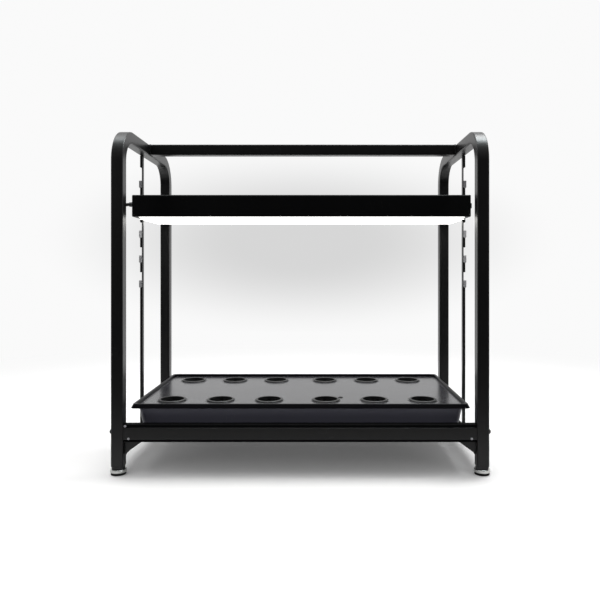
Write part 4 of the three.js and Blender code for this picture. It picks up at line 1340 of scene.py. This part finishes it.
    def switch(self) -> None:
        """The rocker, tilted to its on side, and the thin bezel round it on the end cap.

        The rocker's face is a shallow parabola between its two ends. A blind plate on the cap's inner face
        keeps the lamps' light in.
        """
        box, cap = Box.of("rocker_switch"), Box.of("hood_cap_right")
        y, z = cap.low.y * self.rocker_place_share, box.middle[2]
        height, length, edge = box.size[2] / 2, self.rocker_half_length, self.rocker_edge
        across = np.linspace(-length, length, 25)
        face = self.rocker_proud * (1 - self.rocker_hollow + self.rocker_hollow * (across / length) ** 2)
        body = self.rocker_body
        back = np.array([(-body / 2, length), (-body, 0.0), (-body / 2, -length)])
        cos, sin = math.cos(self.rocker_tilt), math.sin(self.rocker_tilt)
        flat = np.concatenate([np.stack([face, across], axis=1), back]) @ np.array([[cos, sin], [-sin, cos]])
        stations = ((edge, -height), (0.0, edge - height), (0.0, height - edge), (edge, height))
        rings = [along(Axis.Z, flat * (1 - inset / length), place) for inset, place in stations]
        key = loft(np.array(rings)).moved(cap.high.x, y, z)
        add_piece("rocker_switch_key", key, BLACK_PLASTIC, "switch", ("rocker_switch",))
        outer = rounded_rectangle(*self.bezel, self.bezel_corner)
        inner = rounded_rectangle(*self.bezel_window, self.window_corner)
        base, top = cap.high.x - self.bezel_sink, cap.high.x + self.bezel_proud
        stations = ((outer, base), (outer, top - self.bezel_edge), (outer * self.bezel_taper, top),
                    (inner, top), (inner, base))
        rings = [along(Axis.X, outline, place) for outline, place in stations]
        bezel = loft(np.array(rings), closed_path=True).moved(y=y, z=z)
        half_y, half_z = self.bezel[0] / 2, self.bezel[1] / 2
        blind = box_between((cap.low.x - self.blind_back, y - half_y, z - half_z),
                            (cap.low.x - self.blind_face, y + half_y, z + half_z), self.blind_edge)
        add_piece("rocker_switch_bezel", joined([bezel, blind]), BLACK_PLASTIC, "hood")

    def gland(self) -> None:
        """The cord gland: a flanged nut and a tapered relief whose radius swings, for its flex rings."""
        box = Box.of("cord_gland")
        _, y, z = box.middle
        seat, radius = Box.of("hood_cap_left").low.x, box.size[1] / 2
        neck, foot = self.gland_neck, -self.gland_sink
        side, top = self.nut_height
        nut = [(POLE, foot), (neck, foot), (neck, TOUCH_GAP), (radius, TOUCH_GAP), (radius, side),
               (radius * self.nut_taper, top)]
        steps = np.linspace(self.relief_start, seat - box.low.x, 60)
        share = (steps - steps[0]) / (steps[-1] - steps[0])
        taper = radius * self.relief_root_share * (1 - share) + self.relief_tip * share
        swing = (0.5 - 0.5 * np.cos(share * self.relief_rings * 2 * math.pi)) * np.sin(share * math.pi)
        profile = nut + list(zip(taper - self.relief_ring * swing, steps))
        shape = turned(profile, 40, Axis.X, -1).moved(seat, y, z)
        add_piece("cord_gland_relief", shape, BLACK_PLASTIC, "hood", ("cord_gland",))


@dataclass
class Tray:
    """The grow tray: a tapered bowl with a ledge for the deck and a flared, turned-down lip."""

    wall: float = 1.6 * MM
    draft: float = 0.165
    corner: float = 9 * MM
    corner_steps: int = 10
    lip_corner: float = 7 * MM
    lip_width: float = 7 * MM
    lip_flare: float = 2.4 * MM
    lip_drop: float = 7 * MM
    lip_round: float = 1.9 * MM
    lip_lean: float = 0.2 * MM
    edge_rise: Span = (0.3 * MM, 0.4 * MM)
    edge_flat: Span = (0.7, 0.3)
    ledge_width: float = 4.6 * MM
    ledge_drop: float = 7 * MM
    foot_radius: float = 2.5 * MM
    fillet: float = 0.7 * MM
    crease: float = 40.0

    def stations(self, base: float, top: float) -> list[Place]:
        """The wall's line, from the foot's outside over the lip to the floor's inside.

        Args:
            base: the height of the underside.
            top: the height of the lip.

        Returns:
            For each station the inset from the lip's edge, the height and the corner radius.
        """
        wall, fillet, foot = self.wall, self.fillet, self.foot_radius
        lip, flare, bend = self.lip_width, self.lip_flare, self.lip_round
        ledge, edge, floor = top - self.ledge_drop, top - self.lip_drop, base + wall
        mouth = lip + self.ledge_width
        turn = np.linspace(0, math.pi / 2, 6)
        rise, fall = 1 - np.sin(turn), 1 - np.cos(turn)

        def lean(z: np.ndarray | float) -> np.ndarray | float:
            """The inset of the sloping wall's outer face at a height."""
            return mouth - wall + (ledge - wall - z) * self.draft

        slope = np.linspace(base + foot * 1.4, ledge - wall - fillet, 5)
        outside = [*zip(lean(base) + foot * rise, base + foot * fall), *zip(lean(slope), slope)]
        outside += [(lean(ledge) + fillet, ledge - wall), (lip - wall + fillet, ledge - wall),
                    (lip - wall, ledge - wall + fillet), (lip - wall, top - wall)]
        inner_rise, outer_rise = self.edge_rise
        hem = [(flare + wall, top - wall), (wall, edge + inner_rise),
               *((wall * share, edge) for share in self.edge_flat),
               (0, edge + outer_rise), (flare - self.lip_lean, top - bend)]
        hem += zip(flare + bend * fall, top - bend * rise)
        slope = np.linspace(ledge - 2 * fillet, floor + foot, 5)
        inside = [*zip(lip - bend * rise, top - bend * fall), (lip, ledge + fillet), (lip + fillet, ledge),
                  (mouth - fillet, ledge), (mouth, ledge - fillet), *zip(lean(slope) + wall, slope)]
        inside += zip(lean(floor) + wall + foot * fall[1:], floor + foot * rise[1:])
        corners = ((outside, self.corner), (hem, self.lip_corner), (inside, self.corner))
        return [(*place, corner) for line, corner in corners for place in line]

    def build(self) -> None:
        """Builds the tray as one shell: each station of the wall's line becomes a rounded rectangle.

        The lip, above the ledge, has its own smooth finish, a much darker copy of the tray plastic that
        paints shade on the lip.
        """
        low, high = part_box("tray")
        rings = []
        for inset, z, corner in self.stations(low.z, high.z):
            size = (2 * (high.x - inset), 2 * (high.y - inset))
            rings.append(along(Axis.Z, rounded_rectangle(*size, corner, self.corner_steps), z))
        shell = loft(np.array(rings))
        bowl = add_piece("tray_bowl", shell, TRAY_PLASTIC, "tray", ("tray",), crease=self.crease)
        # Faces above the ledge take the dark lip finish, which is painted shade.
        bowl.data.materials.append(material_of(LIP_SHADE_PLASTIC))
        faces = bowl.data.polygons
        centres = np.empty(len(faces) * 3)
        faces.foreach_get("center", centres)
        faces.foreach_set("material_index", (centres[2::3] > high.z - self.ledge_drop).astype(np.int32))


@dataclass
class PlantingDeck:
    """The deck on the tray, with a raised ring round each pot hole and a small level hole with its bush."""

    edge: float = 0.5 * MM
    ring_radius: float = 24.6 * MM
    ring_height: float = 0.8 * MM
    ring_sink: float = 0.1 * MM
    bush_place: Span = (66.7 * MM, -67.7 * MM)

    # Radius, height and round of each corner of the bush, in millimetres
    BUSH = ((0.01, -1, 0), (4.2, -1, 0), (4.2, 0.9, 0.5), (2.4, 0.9, 0.3), (2.2, -0.4, 0), (0.01, -0.4, 0))

    def build(self) -> None:
        """Builds the deck, its pot rings and its level bush.

        A ring's section is a half circle: radius + height * cos t, and height * sin t.
        """
        add_softened("planting_deck", DECK_PLASTIC, "deck", self.edge)
        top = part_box("planting_deck")[1].z
        turn = np.linspace(0, math.pi, 7)
        profile = self.ring_height * np.stack([np.cos(turn), np.sin(turn)], axis=1)
        profile += (self.ring_radius, top - self.ring_sink)
        ring = loft(np.array([along(Axis.Z, circle(56) * r, h) for r, h in profile]), closed_path=True)
        pots = [Box.of(f"net_pot_{row}_{number}").middle for row in ENDS for number in POT_NUMBERS]
        rings = joined([ring.moved(x, y) for x, y, _ in pots])
        add_piece("planting_deck_rings", rings, DECK_PLASTIC, "deck", crease=RING_CREASE)
        bush = turned_table(self.BUSH, 32, Axis.Z).moved(*self.bush_place, top)
        add_piece("planting_deck_bush", bush, POT_PLASTIC, "deck")


@dataclass
class NetPots:
    """Twelve net pots, each a rim over a tapered basket with tall slots and a slotted floor."""

    around: int = 72
    rim_height: float = 2.2 * MM
    neck: float = 2 * MM
    top_radius: float = 19.5 * MM
    base_radius: float = 14 * MM
    base_edge: float = 1 * MM
    wall_steps: int = 12
    wall: float = 1.3 * MM
    slots: int = 12
    slot_faces: int = 4

    # The rim's line and the mouth's, in millimetres off their radius and off the crest
    RIM = ((0, -2), (0, -1), (-0.5, -0.3), (-1.2, 0))
    MOUTH = ((0, 0), (-0.3, -0.4))
    FLOOR_SHARES = (0.72, 0.4, 0.2)

    def build(self) -> None:
        """Builds the twelve pots."""
        for row in ENDS:
            for number in POT_NUMBERS:
                self.pot(f"net_pot_{row}_{number}", f"pot_{row}_{number}")

    def pot(self, node: str, body: str) -> None:
        """One pot: rim, band, basket and floor on one grid of station and angle, with the slots left open.

        P(s, a) = (radius(s) cos a, radius(s) sin a, height(s)), and Solidify gives the wall its thickness.

        Args:
            node: the plain solid that it stands for.
            body: the body that it rides on.
        """
        box = Box.of(node)
        x, y, _ = box.middle
        rim, base, crest = box.size[0] / 2, box.low.z, box.high.z
        wall_top, mouth, foot = crest - self.rim_height - self.neck, self.top_radius, self.base_radius
        share = np.linspace(0, 1, self.wall_steps)
        rim_line = [(radius + off * MM, crest + drop * MM)
                    for radius, table in ((rim, self.RIM), (mouth, self.MOUTH)) for off, drop in table]
        wall = zip(mouth + (foot - mouth) * share, wall_top + (base + self.base_edge - wall_top) * share)
        floor = [(foot - self.base_edge, base), *((foot * part, base) for part in self.FLOOR_SHARES)]
        stations = [*rim_line, *wall, *floor]
        shell = loft(np.array([along(Axis.Z, circle(self.around) * r, h) for r, h in stations]))
        quads = np.array(shell.faces[:-2]).reshape(len(stations) - 1, self.around, 4)
        per_slot = self.around // self.slots
        slot_column = np.arange(self.around) % per_slot < per_slot // 2
        open_faces = np.zeros(quads.shape[:2], bool)
        for first in (len(rim_line) + 1, len(rim_line) + self.slot_faces + 2):
            open_faces[first:first + self.slot_faces, slot_column] = True
        open_faces[-2, slot_column] = True
        kept = quads[~open_faces].tolist() + [shell.faces[-1]]
        mesh = bpy.data.meshes.new(f"{node}_basket")
        mesh.from_pydata(shell.moved(x, y).points.tolist(), [], kept)
        piece = place_mesh(f"{node}_basket", mesh)
        solid = piece.modifiers.new("wall", "SOLIDIFY")
        solid.thickness = self.wall
        solid.offset = -1
        settle(piece, POT_PLASTIC, body, (node,))


@dataclass
class PowerCord:
    """The mains cord: from the gland down to the floor, back along it, and into a tied coil with a plug."""

    diameter: float = 6 * MM
    length: float = 1.832
    sides: int = 16
    drop_end: float = 20 * MM
    route_steps: int = 8
    coil_centre: Place = (-176 * MM, 222 * MM, 4.3 * MM)
    mean_radius: float = 33 * MM
    pitch: float = 6.6 * MM
    turns: int = 5
    steps_per_turn: int = 48
    tail: float = 18 * MM
    neck_length: float = 20 * MM
    neck_start: float = 4.1 * MM
    neck_end: float = 5 * MM
    neck_rib: float = 0.4 * MM
    neck_ribs: int = 5
    shoulder: float = 12 * MM
    blade_length: float = 17 * MM
    blade_sink: float = 1 * MM
    blade: Span = (1.6 * MM, 6.4 * MM)
    blade_offset: float = 6.35 * MM
    blade_corner: float = 0.3 * MM
    blade_edge: float = 0.5 * MM
    swell_power: float = 0.8
    swell_corner_loss: float = 0.45
    face_corner_share: float = 0.55
    lead_steps: int = 6
    strap: float = 1 * MM
    strap_corner: float = 3 * MM
    strap_inner_corner: float = 2.4 * MM
    strap_edge: float = 0.3 * MM
    strap_taper: float = 0.99

    # The plug's face: how far each section is drawn in and set back, in millimetres
    PLUG_FACE = ((0, 2), (0.3, 0.8), (1.2, 0))

    # The listed places that the cord passes from the gland to its coil, in millimetres
    ROUTE = (
        (-306.5, -32, 438.6), (-312, -32, 438.2), (-318.5, -32, 435.6), (-324.5, -32, 430.4),
        (-328.8, -32, 422.5), (-330.6, -32, 411), (-331, -32, 370), (-331.2, -32, 300),
        (-331.2, -32, 220), (-331.2, -32, 140), (-331, -31.8, 70), (-330.8, -31, 34),
        (-330.6, -28.2, 20), (-330.6, -21, 9), (-330.6, -10, 3.8), (-330.8, 6, 3),
        (-331.5, 50, 3), (-331.3, 90, 3), (-331, 121, 3), (-328.8, 136.5, 3),
        (-322.9, 150.9, 3), (-313.4, 163.2, 3), (-301, 172.7, 3), (-286.4, 178.7, 3),
        (-270, 180.75, 3.3), (-245, 180.75, 4), (-216, 180.75, 4.3), (-194, 180.75, 4.3),
    )

    def build(self) -> None:
        path = np.concatenate([self.free_stretch(), self.coil()])
        cord = add_object("power_cord_jacket", tube(path, self.diameter / 2, self.sides), RING_CREASE)
        dress(cord, CORD_JACKET)
        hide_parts("power_cord", "cord_coil")
        plug = self.plug()
        blades = self.blades()
        tie = self.tie()
        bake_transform(cord)
        log.info("cord: %.3f m", float(np.linalg.norm(np.diff(path, axis=0), axis=1).sum()))

    def free_stretch(self) -> np.ndarray:
        """A smooth curve through the route: cubic pieces whose slopes follow the places on either side.

        Returns:
            The curve's points, up to the last place but without it.
        """
        places = np.array(self.ROUTE) * MM
        steps = np.diff(places, axis=0)
        gaps = np.sqrt(np.linalg.norm(steps, axis=1))[:, None]
        rates = steps / gaps
        slopes = np.empty_like(places)
        slopes[1:-1] = (rates[:-1] * gaps[1:] + rates[1:] * gaps[:-1]) / (gaps[1:] + gaps[:-1])
        slopes[0], slopes[-1] = rates[0], rates[-1]
        t = (np.arange(self.route_steps) / self.route_steps)[None, :, None]
        a, b = places[:-1, None], places[1:, None]
        da, db = slopes[:-1, None] * gaps[:, None], slopes[1:, None] * gaps[:, None]
        line = ((2 * t**3 - 3 * t**2 + 1) * a + (t**3 - 2 * t**2 + t) * da
                + (3 * t**2 - 2 * t**3) * b + (t**3 - t**2) * db)
        return line.reshape(-1, 3)

    def coil_point(self, turn: np.ndarray) -> np.ndarray:
        """Places on the coil: the radius falls a pitch a turn to half way and grows again, a layer higher.

        Args:
            turn: how many turns along the coil each place is.

        Returns:
            The places.
        """
        half = self.turns / 2
        outside = self.mean_radius + self.pitch * self.turns / 4
        radius = outside - self.pitch * np.minimum(turn, self.turns - turn)
        climb = np.clip((turn - half) * 2 + 0.5, 0, 1)
        rise = climb**2 * (3 - 2 * climb) * self.pitch
        angle = (turn - 0.25) * 2 * math.pi
        flat = np.stack([radius * np.cos(angle), radius * np.sin(angle), rise], axis=1)
        return flat + np.array(self.coil_centre)

    def coil(self) -> np.ndarray:
        """The coil's line, with a straight lead in and a straight tail towards the plug.

        Returns:
            The line's points.
        """
        line = self.coil_point(np.linspace(0, self.turns, self.turns * self.steps_per_turn + 1))
        lead = line[0] - np.outer(np.linspace(self.tail, 0, self.lead_steps, endpoint=False), [1, 0, 0])
        tail = line[-1] + np.outer(np.linspace(0, self.tail, self.lead_steps + 1)[1:], [1, 0, 0])
        return np.concatenate([lead, line, tail])

    def plug(self) -> bpy.types.Object:
        """The moulded plug: a ribbed neck that swells into a rounded body.

        Each section is a rounded rectangle whose size and corner change along X. The swell is a power of
        the sine of the share of a quarter turn.

        Returns:
            The plug's body.
        """
        box = Box.of("mains_plug")
        _, y, z = box.middle
        start, half_y, half_z = box.low.x, box.size[1] / 2, box.size[2] / 2
        neck, body_end = start + self.neck_length, box.high.x - self.blade_length
        sections = []
        for place in np.linspace(start, neck, 41):
            share = (place - start) / (neck - start)
            rib = self.neck_rib * (0.5 - 0.5 * math.cos(share * self.neck_ribs * 2 * math.pi))
            radius = self.neck_start + (self.neck_end - self.neck_start) * share - rib
            sections.append((radius, radius, radius, place))
        for share in np.linspace(0, 1, 9)[1:]:
            swell = math.sin(share * math.pi / 2) ** self.swell_power
            width, height = [self.neck_end + (half - self.neck_end) * swell for half in (half_y, half_z)]
            corner = min(width, height) * (1 - self.swell_corner_loss * swell)
            sections.append((width, height, corner, neck + self.shoulder * share))
        for inset, back in np.array(self.PLUG_FACE) * MM:
            corner = half_z * self.face_corner_share
            sections.append((half_y - inset, half_z - inset, corner, body_end - back))
        rings = [along(Axis.X, rounded_rectangle(2 * width, 2 * height, corner, 6), place)
                 for width, height, corner, place in sections]
        shape = loft(np.array(rings)).moved(y=y, z=z)
        return add_piece("mains_plug_body", shape, CORD_JACKET, "frame", ("mains_plug",), crease=FOLD_CREASE)

    def blades(self) -> bpy.types.Object:
        """The plug's two flat blades.

        Returns:
            The blades' piece.
        """
        box = Box.of("mains_plug")
        _, y, z = box.middle
        tip = box.high.x
        ends = (tip - self.blade_length - self.blade_sink, tip)
        one = bar(Axis.X, self.blade, ends, self.blade_corner, self.blade_edge)
        shapes = [one.moved(y=y + side * self.blade_offset, z=z) for side in SIDES.values()]
        return add_piece("mains_plug_blades", joined(shapes), BLADE_NICKEL, "frame")

    def tie(self) -> bpy.types.Object:
        """The tie round both layers of the coil, a soft strap with rounded edges.

        Returns:
            The strap.
        """
        box = Box.of("cord_tie")
        length, width, height = box.size
        inner_size = (width - 2 * self.strap, height - 2 * self.strap)
        outer = rounded_rectangle(width, height, self.strap_corner, 8)
        inner = rounded_rectangle(*inner_size, self.strap_inner_corner, 8)
        rim, half = outer * self.strap_taper, length / 2
        edge = half - self.strap_edge
        stations = ((rim, -half), (outer, -edge), (outer, edge), (rim, half), (inner, half), (inner, -half))
        rings = np.array([along(Axis.X, outline, place) for outline, place in stations])
        strap = loft(rings, closed_path=True).moved(*box.middle)
        return add_piece("cord_tie_strap", strap, PAD_RUBBER, "frame", ("cord_tie",), crease=RING_CREASE)


@dataclass(frozen=True)
class Lamp:
    """An area lamp: its place, its width and length, its watts, and whether it only shows in gloss."""

    name: str
    place: Place
    size: Span
    power: float
    gleam: bool = False


LAMPS = (
    Lamp("key", (-0.2, -0.55, 2.1), (0.9, 0.9), 4.5),
    Lamp("right", (0.7, 0.3, 2.0), (0.6, 1.2), 16.0),
    Lamp("left", (-0.8, 0.2, 2.0), (0.8, 1.4), 8.0),
    Lamp("gleam_right", (0.67, -0.1, 2.0), (0.4, 1.0), 23.0, gleam=True),
    Lamp("gleam_left", (-0.8, -0.1, 2.0), (0.4, 1.0), 6.5, gleam=True),
    Lamp("fill_left", (-1.8, -1.5, 0.8), (1.0, 1.0), 5.0),
    Lamp("fill_right", (1.9, -1.5, 0.8), (1.0, 1.0), 5.0),
)


@dataclass
class Studio:
    """The pale floor and background, the soft light and the camera."""

    camera_place: Place = (0.0293, -1.097, 0.325)
    lens: float = 36.0
    shift: Span = (-0.0313, -0.0525)
    floor_half: float = 2.0
    floor_fade: Span = (-0.7, 0.0)
    floor_far: Span = (0.7, 1.5)
    floor_lift: float = 0.07
    floor_pale: float = 0.95
    floor_dim: float = 0.06
    floor_roughness: float = 0.7
    floor_specular: float = 0.1
    pale: float = 0.955
    pool: float = 0.28
    pool_place: Place = (-0.03, 1.0, 0.045)
    pool_shape: Place = (0.85, 1.0, 2.2)
    pool_reach: Span = (0.08, 0.36)
    front_level: float = 0.05
    back_level: float = 0.9
    back_fade: Span = (-0.3, 0.5)
    above_level: float = 0.3
    above_fade: Span = (0.1, 0.8)
    mirror_fade: Span = (0.3, 0.7)
    gleam_color: Place = (0.9, 0.98, 1.0)

    def build(self) -> None:
        """Builds the floor, the world, the lamps and the camera."""
        self.floor()
        self.world()
        for lamp in LAMPS:
            self.lamp(lamp)
        self.camera()

    def floor(self) -> None:
        """A pale floor that takes the shadow, and far off turns into the background, so that no edge shows.

        To other rays than the camera's, it falls off in front, past the studio's light.
        """
        half = self.floor_half
        mesh = bpy.data.meshes.new("floor")
        corners = ((-half, -half), (half, -half), (half, half), (-half, half))
        mesh.from_pydata([(x, y, -TOUCH_GAP / 4) for x, y in corners], [], [(0, 1, 2, 3)])
        floor = place_mesh("floor", mesh)
        material = bpy.data.materials.new("pale_floor")
        material.use_nodes = True
        build = NodeBuilder(material.node_tree)
        nodes = build.tree.nodes
        place = build.place()
        camera = build.node("LightPath").outputs["Is Camera Ray"]
        given = build.ramp(build.part(place, Axis.Y), *self.floor_fade, self.floor_dim, self.floor_pale)
        color = build.math("MAXIMUM", given, build.math("MULTIPLY", camera, self.floor_pale))
        lift = build.math("MULTIPLY", camera, self.floor_lift)
        shader = nodes["Principled BSDF"]
        build.feed(shader, {
            "Base Color": color, "Roughness": self.floor_roughness,
            "Specular IOR Level": self.floor_specular,
            "Emission Color": (1, 1, 1, 1), "Emission Strength": lift,
        })
        far = build.math("MULTIPLY", camera, build.band(build.vector("LENGTH", place), *self.floor_far))
        glow = build.node("Emission", {"Strength": self.pale}).outputs[0]
        mixed = build.node("MixShader", {0: far, 1: shader.outputs[0], 2: glow}).outputs[0]
        build.feed(nodes["Material Output"], {"Surface": mixed})
        mesh.materials.append(material)

    def world(self) -> None:
        """The studio's light: bright behind and above, dim in front. The camera sees the plain background.

        That background is pale, with a soft grey pool behind the shelf. Glossy and transmitted rays see it
        too, where they look behind the shelf.
        """
        world = bpy.data.worlds.new("studio")
        world.use_nodes = True
        build = NodeBuilder(world.node_tree)
        direction = build.node("TexCoord").outputs["Generated"]
        depth, height = [build.part(direction, axis) for axis in (Axis.Y, Axis.Z)]
        off = build.vector("MULTIPLY", build.vector("SUBTRACT", direction, self.pool_place), self.pool_shape)
        tone = build.ramp(build.vector("LENGTH", off), *self.pool_reach, self.pale - self.pool, self.pale)
        above = build.math("MULTIPLY", build.band(height, *self.above_fade), self.above_level)
        level = build.ramp(depth, *self.back_fade, self.front_level, self.back_level)
        light = build.math("ADD", level, above)
        rays = build.node("LightPath").outputs
        mirrored = build.math("MAXIMUM", rays["Is Glossy Ray"], rays["Is Transmission Ray"])
        mirrored = build.math("MULTIPLY", mirrored, build.band(depth, *self.mirror_fade))
        shown = build.math("MAXIMUM", rays["Is Camera Ray"], mirrored)
        strength = build.node("Mix", {0: shown, 2: light, 3: tone}).outputs[0]
        build.feed(build.tree.nodes["Background"], {"Color": (1, 1, 1, 1), "Strength": strength})
        bpy.context.scene.world = world

    def lamp(self, lamp: Lamp) -> None:
        """Adds an area lamp that looks at the middle of the shelf.

        Args:
            lamp: what lamp it is.
        """
        data = bpy.data.lights.new(lamp.name, "AREA")
        data.shape = "RECTANGLE"
        data.size, data.size_y = lamp.size
        data.energy = lamp.power
        if lamp.gleam:
            data.color = self.gleam_color
        made = bpy.data.objects.new(lamp.name, data)
        made.location = lamp.place
        made.rotation_mode = "QUATERNION"
        target = (cad_low + cad_high) / 2
        made.rotation_quaternion = (target - Vector(lamp.place)).to_track_quat("-Z", "Y")
        made.visible_camera = False
        made.visible_diffuse = not lamp.gleam
        bpy.context.scene.collection.objects.link(made)

    def camera(self) -> None:
        """The camera: level, looking along +Y."""
        data = bpy.data.cameras.new("camera")
        data.sensor_width = 36.0
        data.lens = self.lens
        data.shift_x, data.shift_y = self.shift
        camera = bpy.data.objects.new("camera", data)
        camera.location = self.camera_place
        camera.rotation_euler = (math.pi / 2, 0, 0)
        bpy.context.scene.collection.objects.link(camera)
        bpy.context.scene.camera = camera
        bpy.context.scene.view_settings.view_transform = "Standard"


def main() -> None:
    """Builds the studio and every sub-assembly in order."""
    logging.basicConfig(level=logging.INFO, format="%(name)s: %(message)s")
    Studio().build()
    for part in (FrameWork(), LevellingFeet(), LampHood(), Tray(), PlantingDeck(), NetPots(), PowerCord()):
        part.build()
        log.info("%s is built", type(part).__name__)


if __name__ == "__main__":
    main()
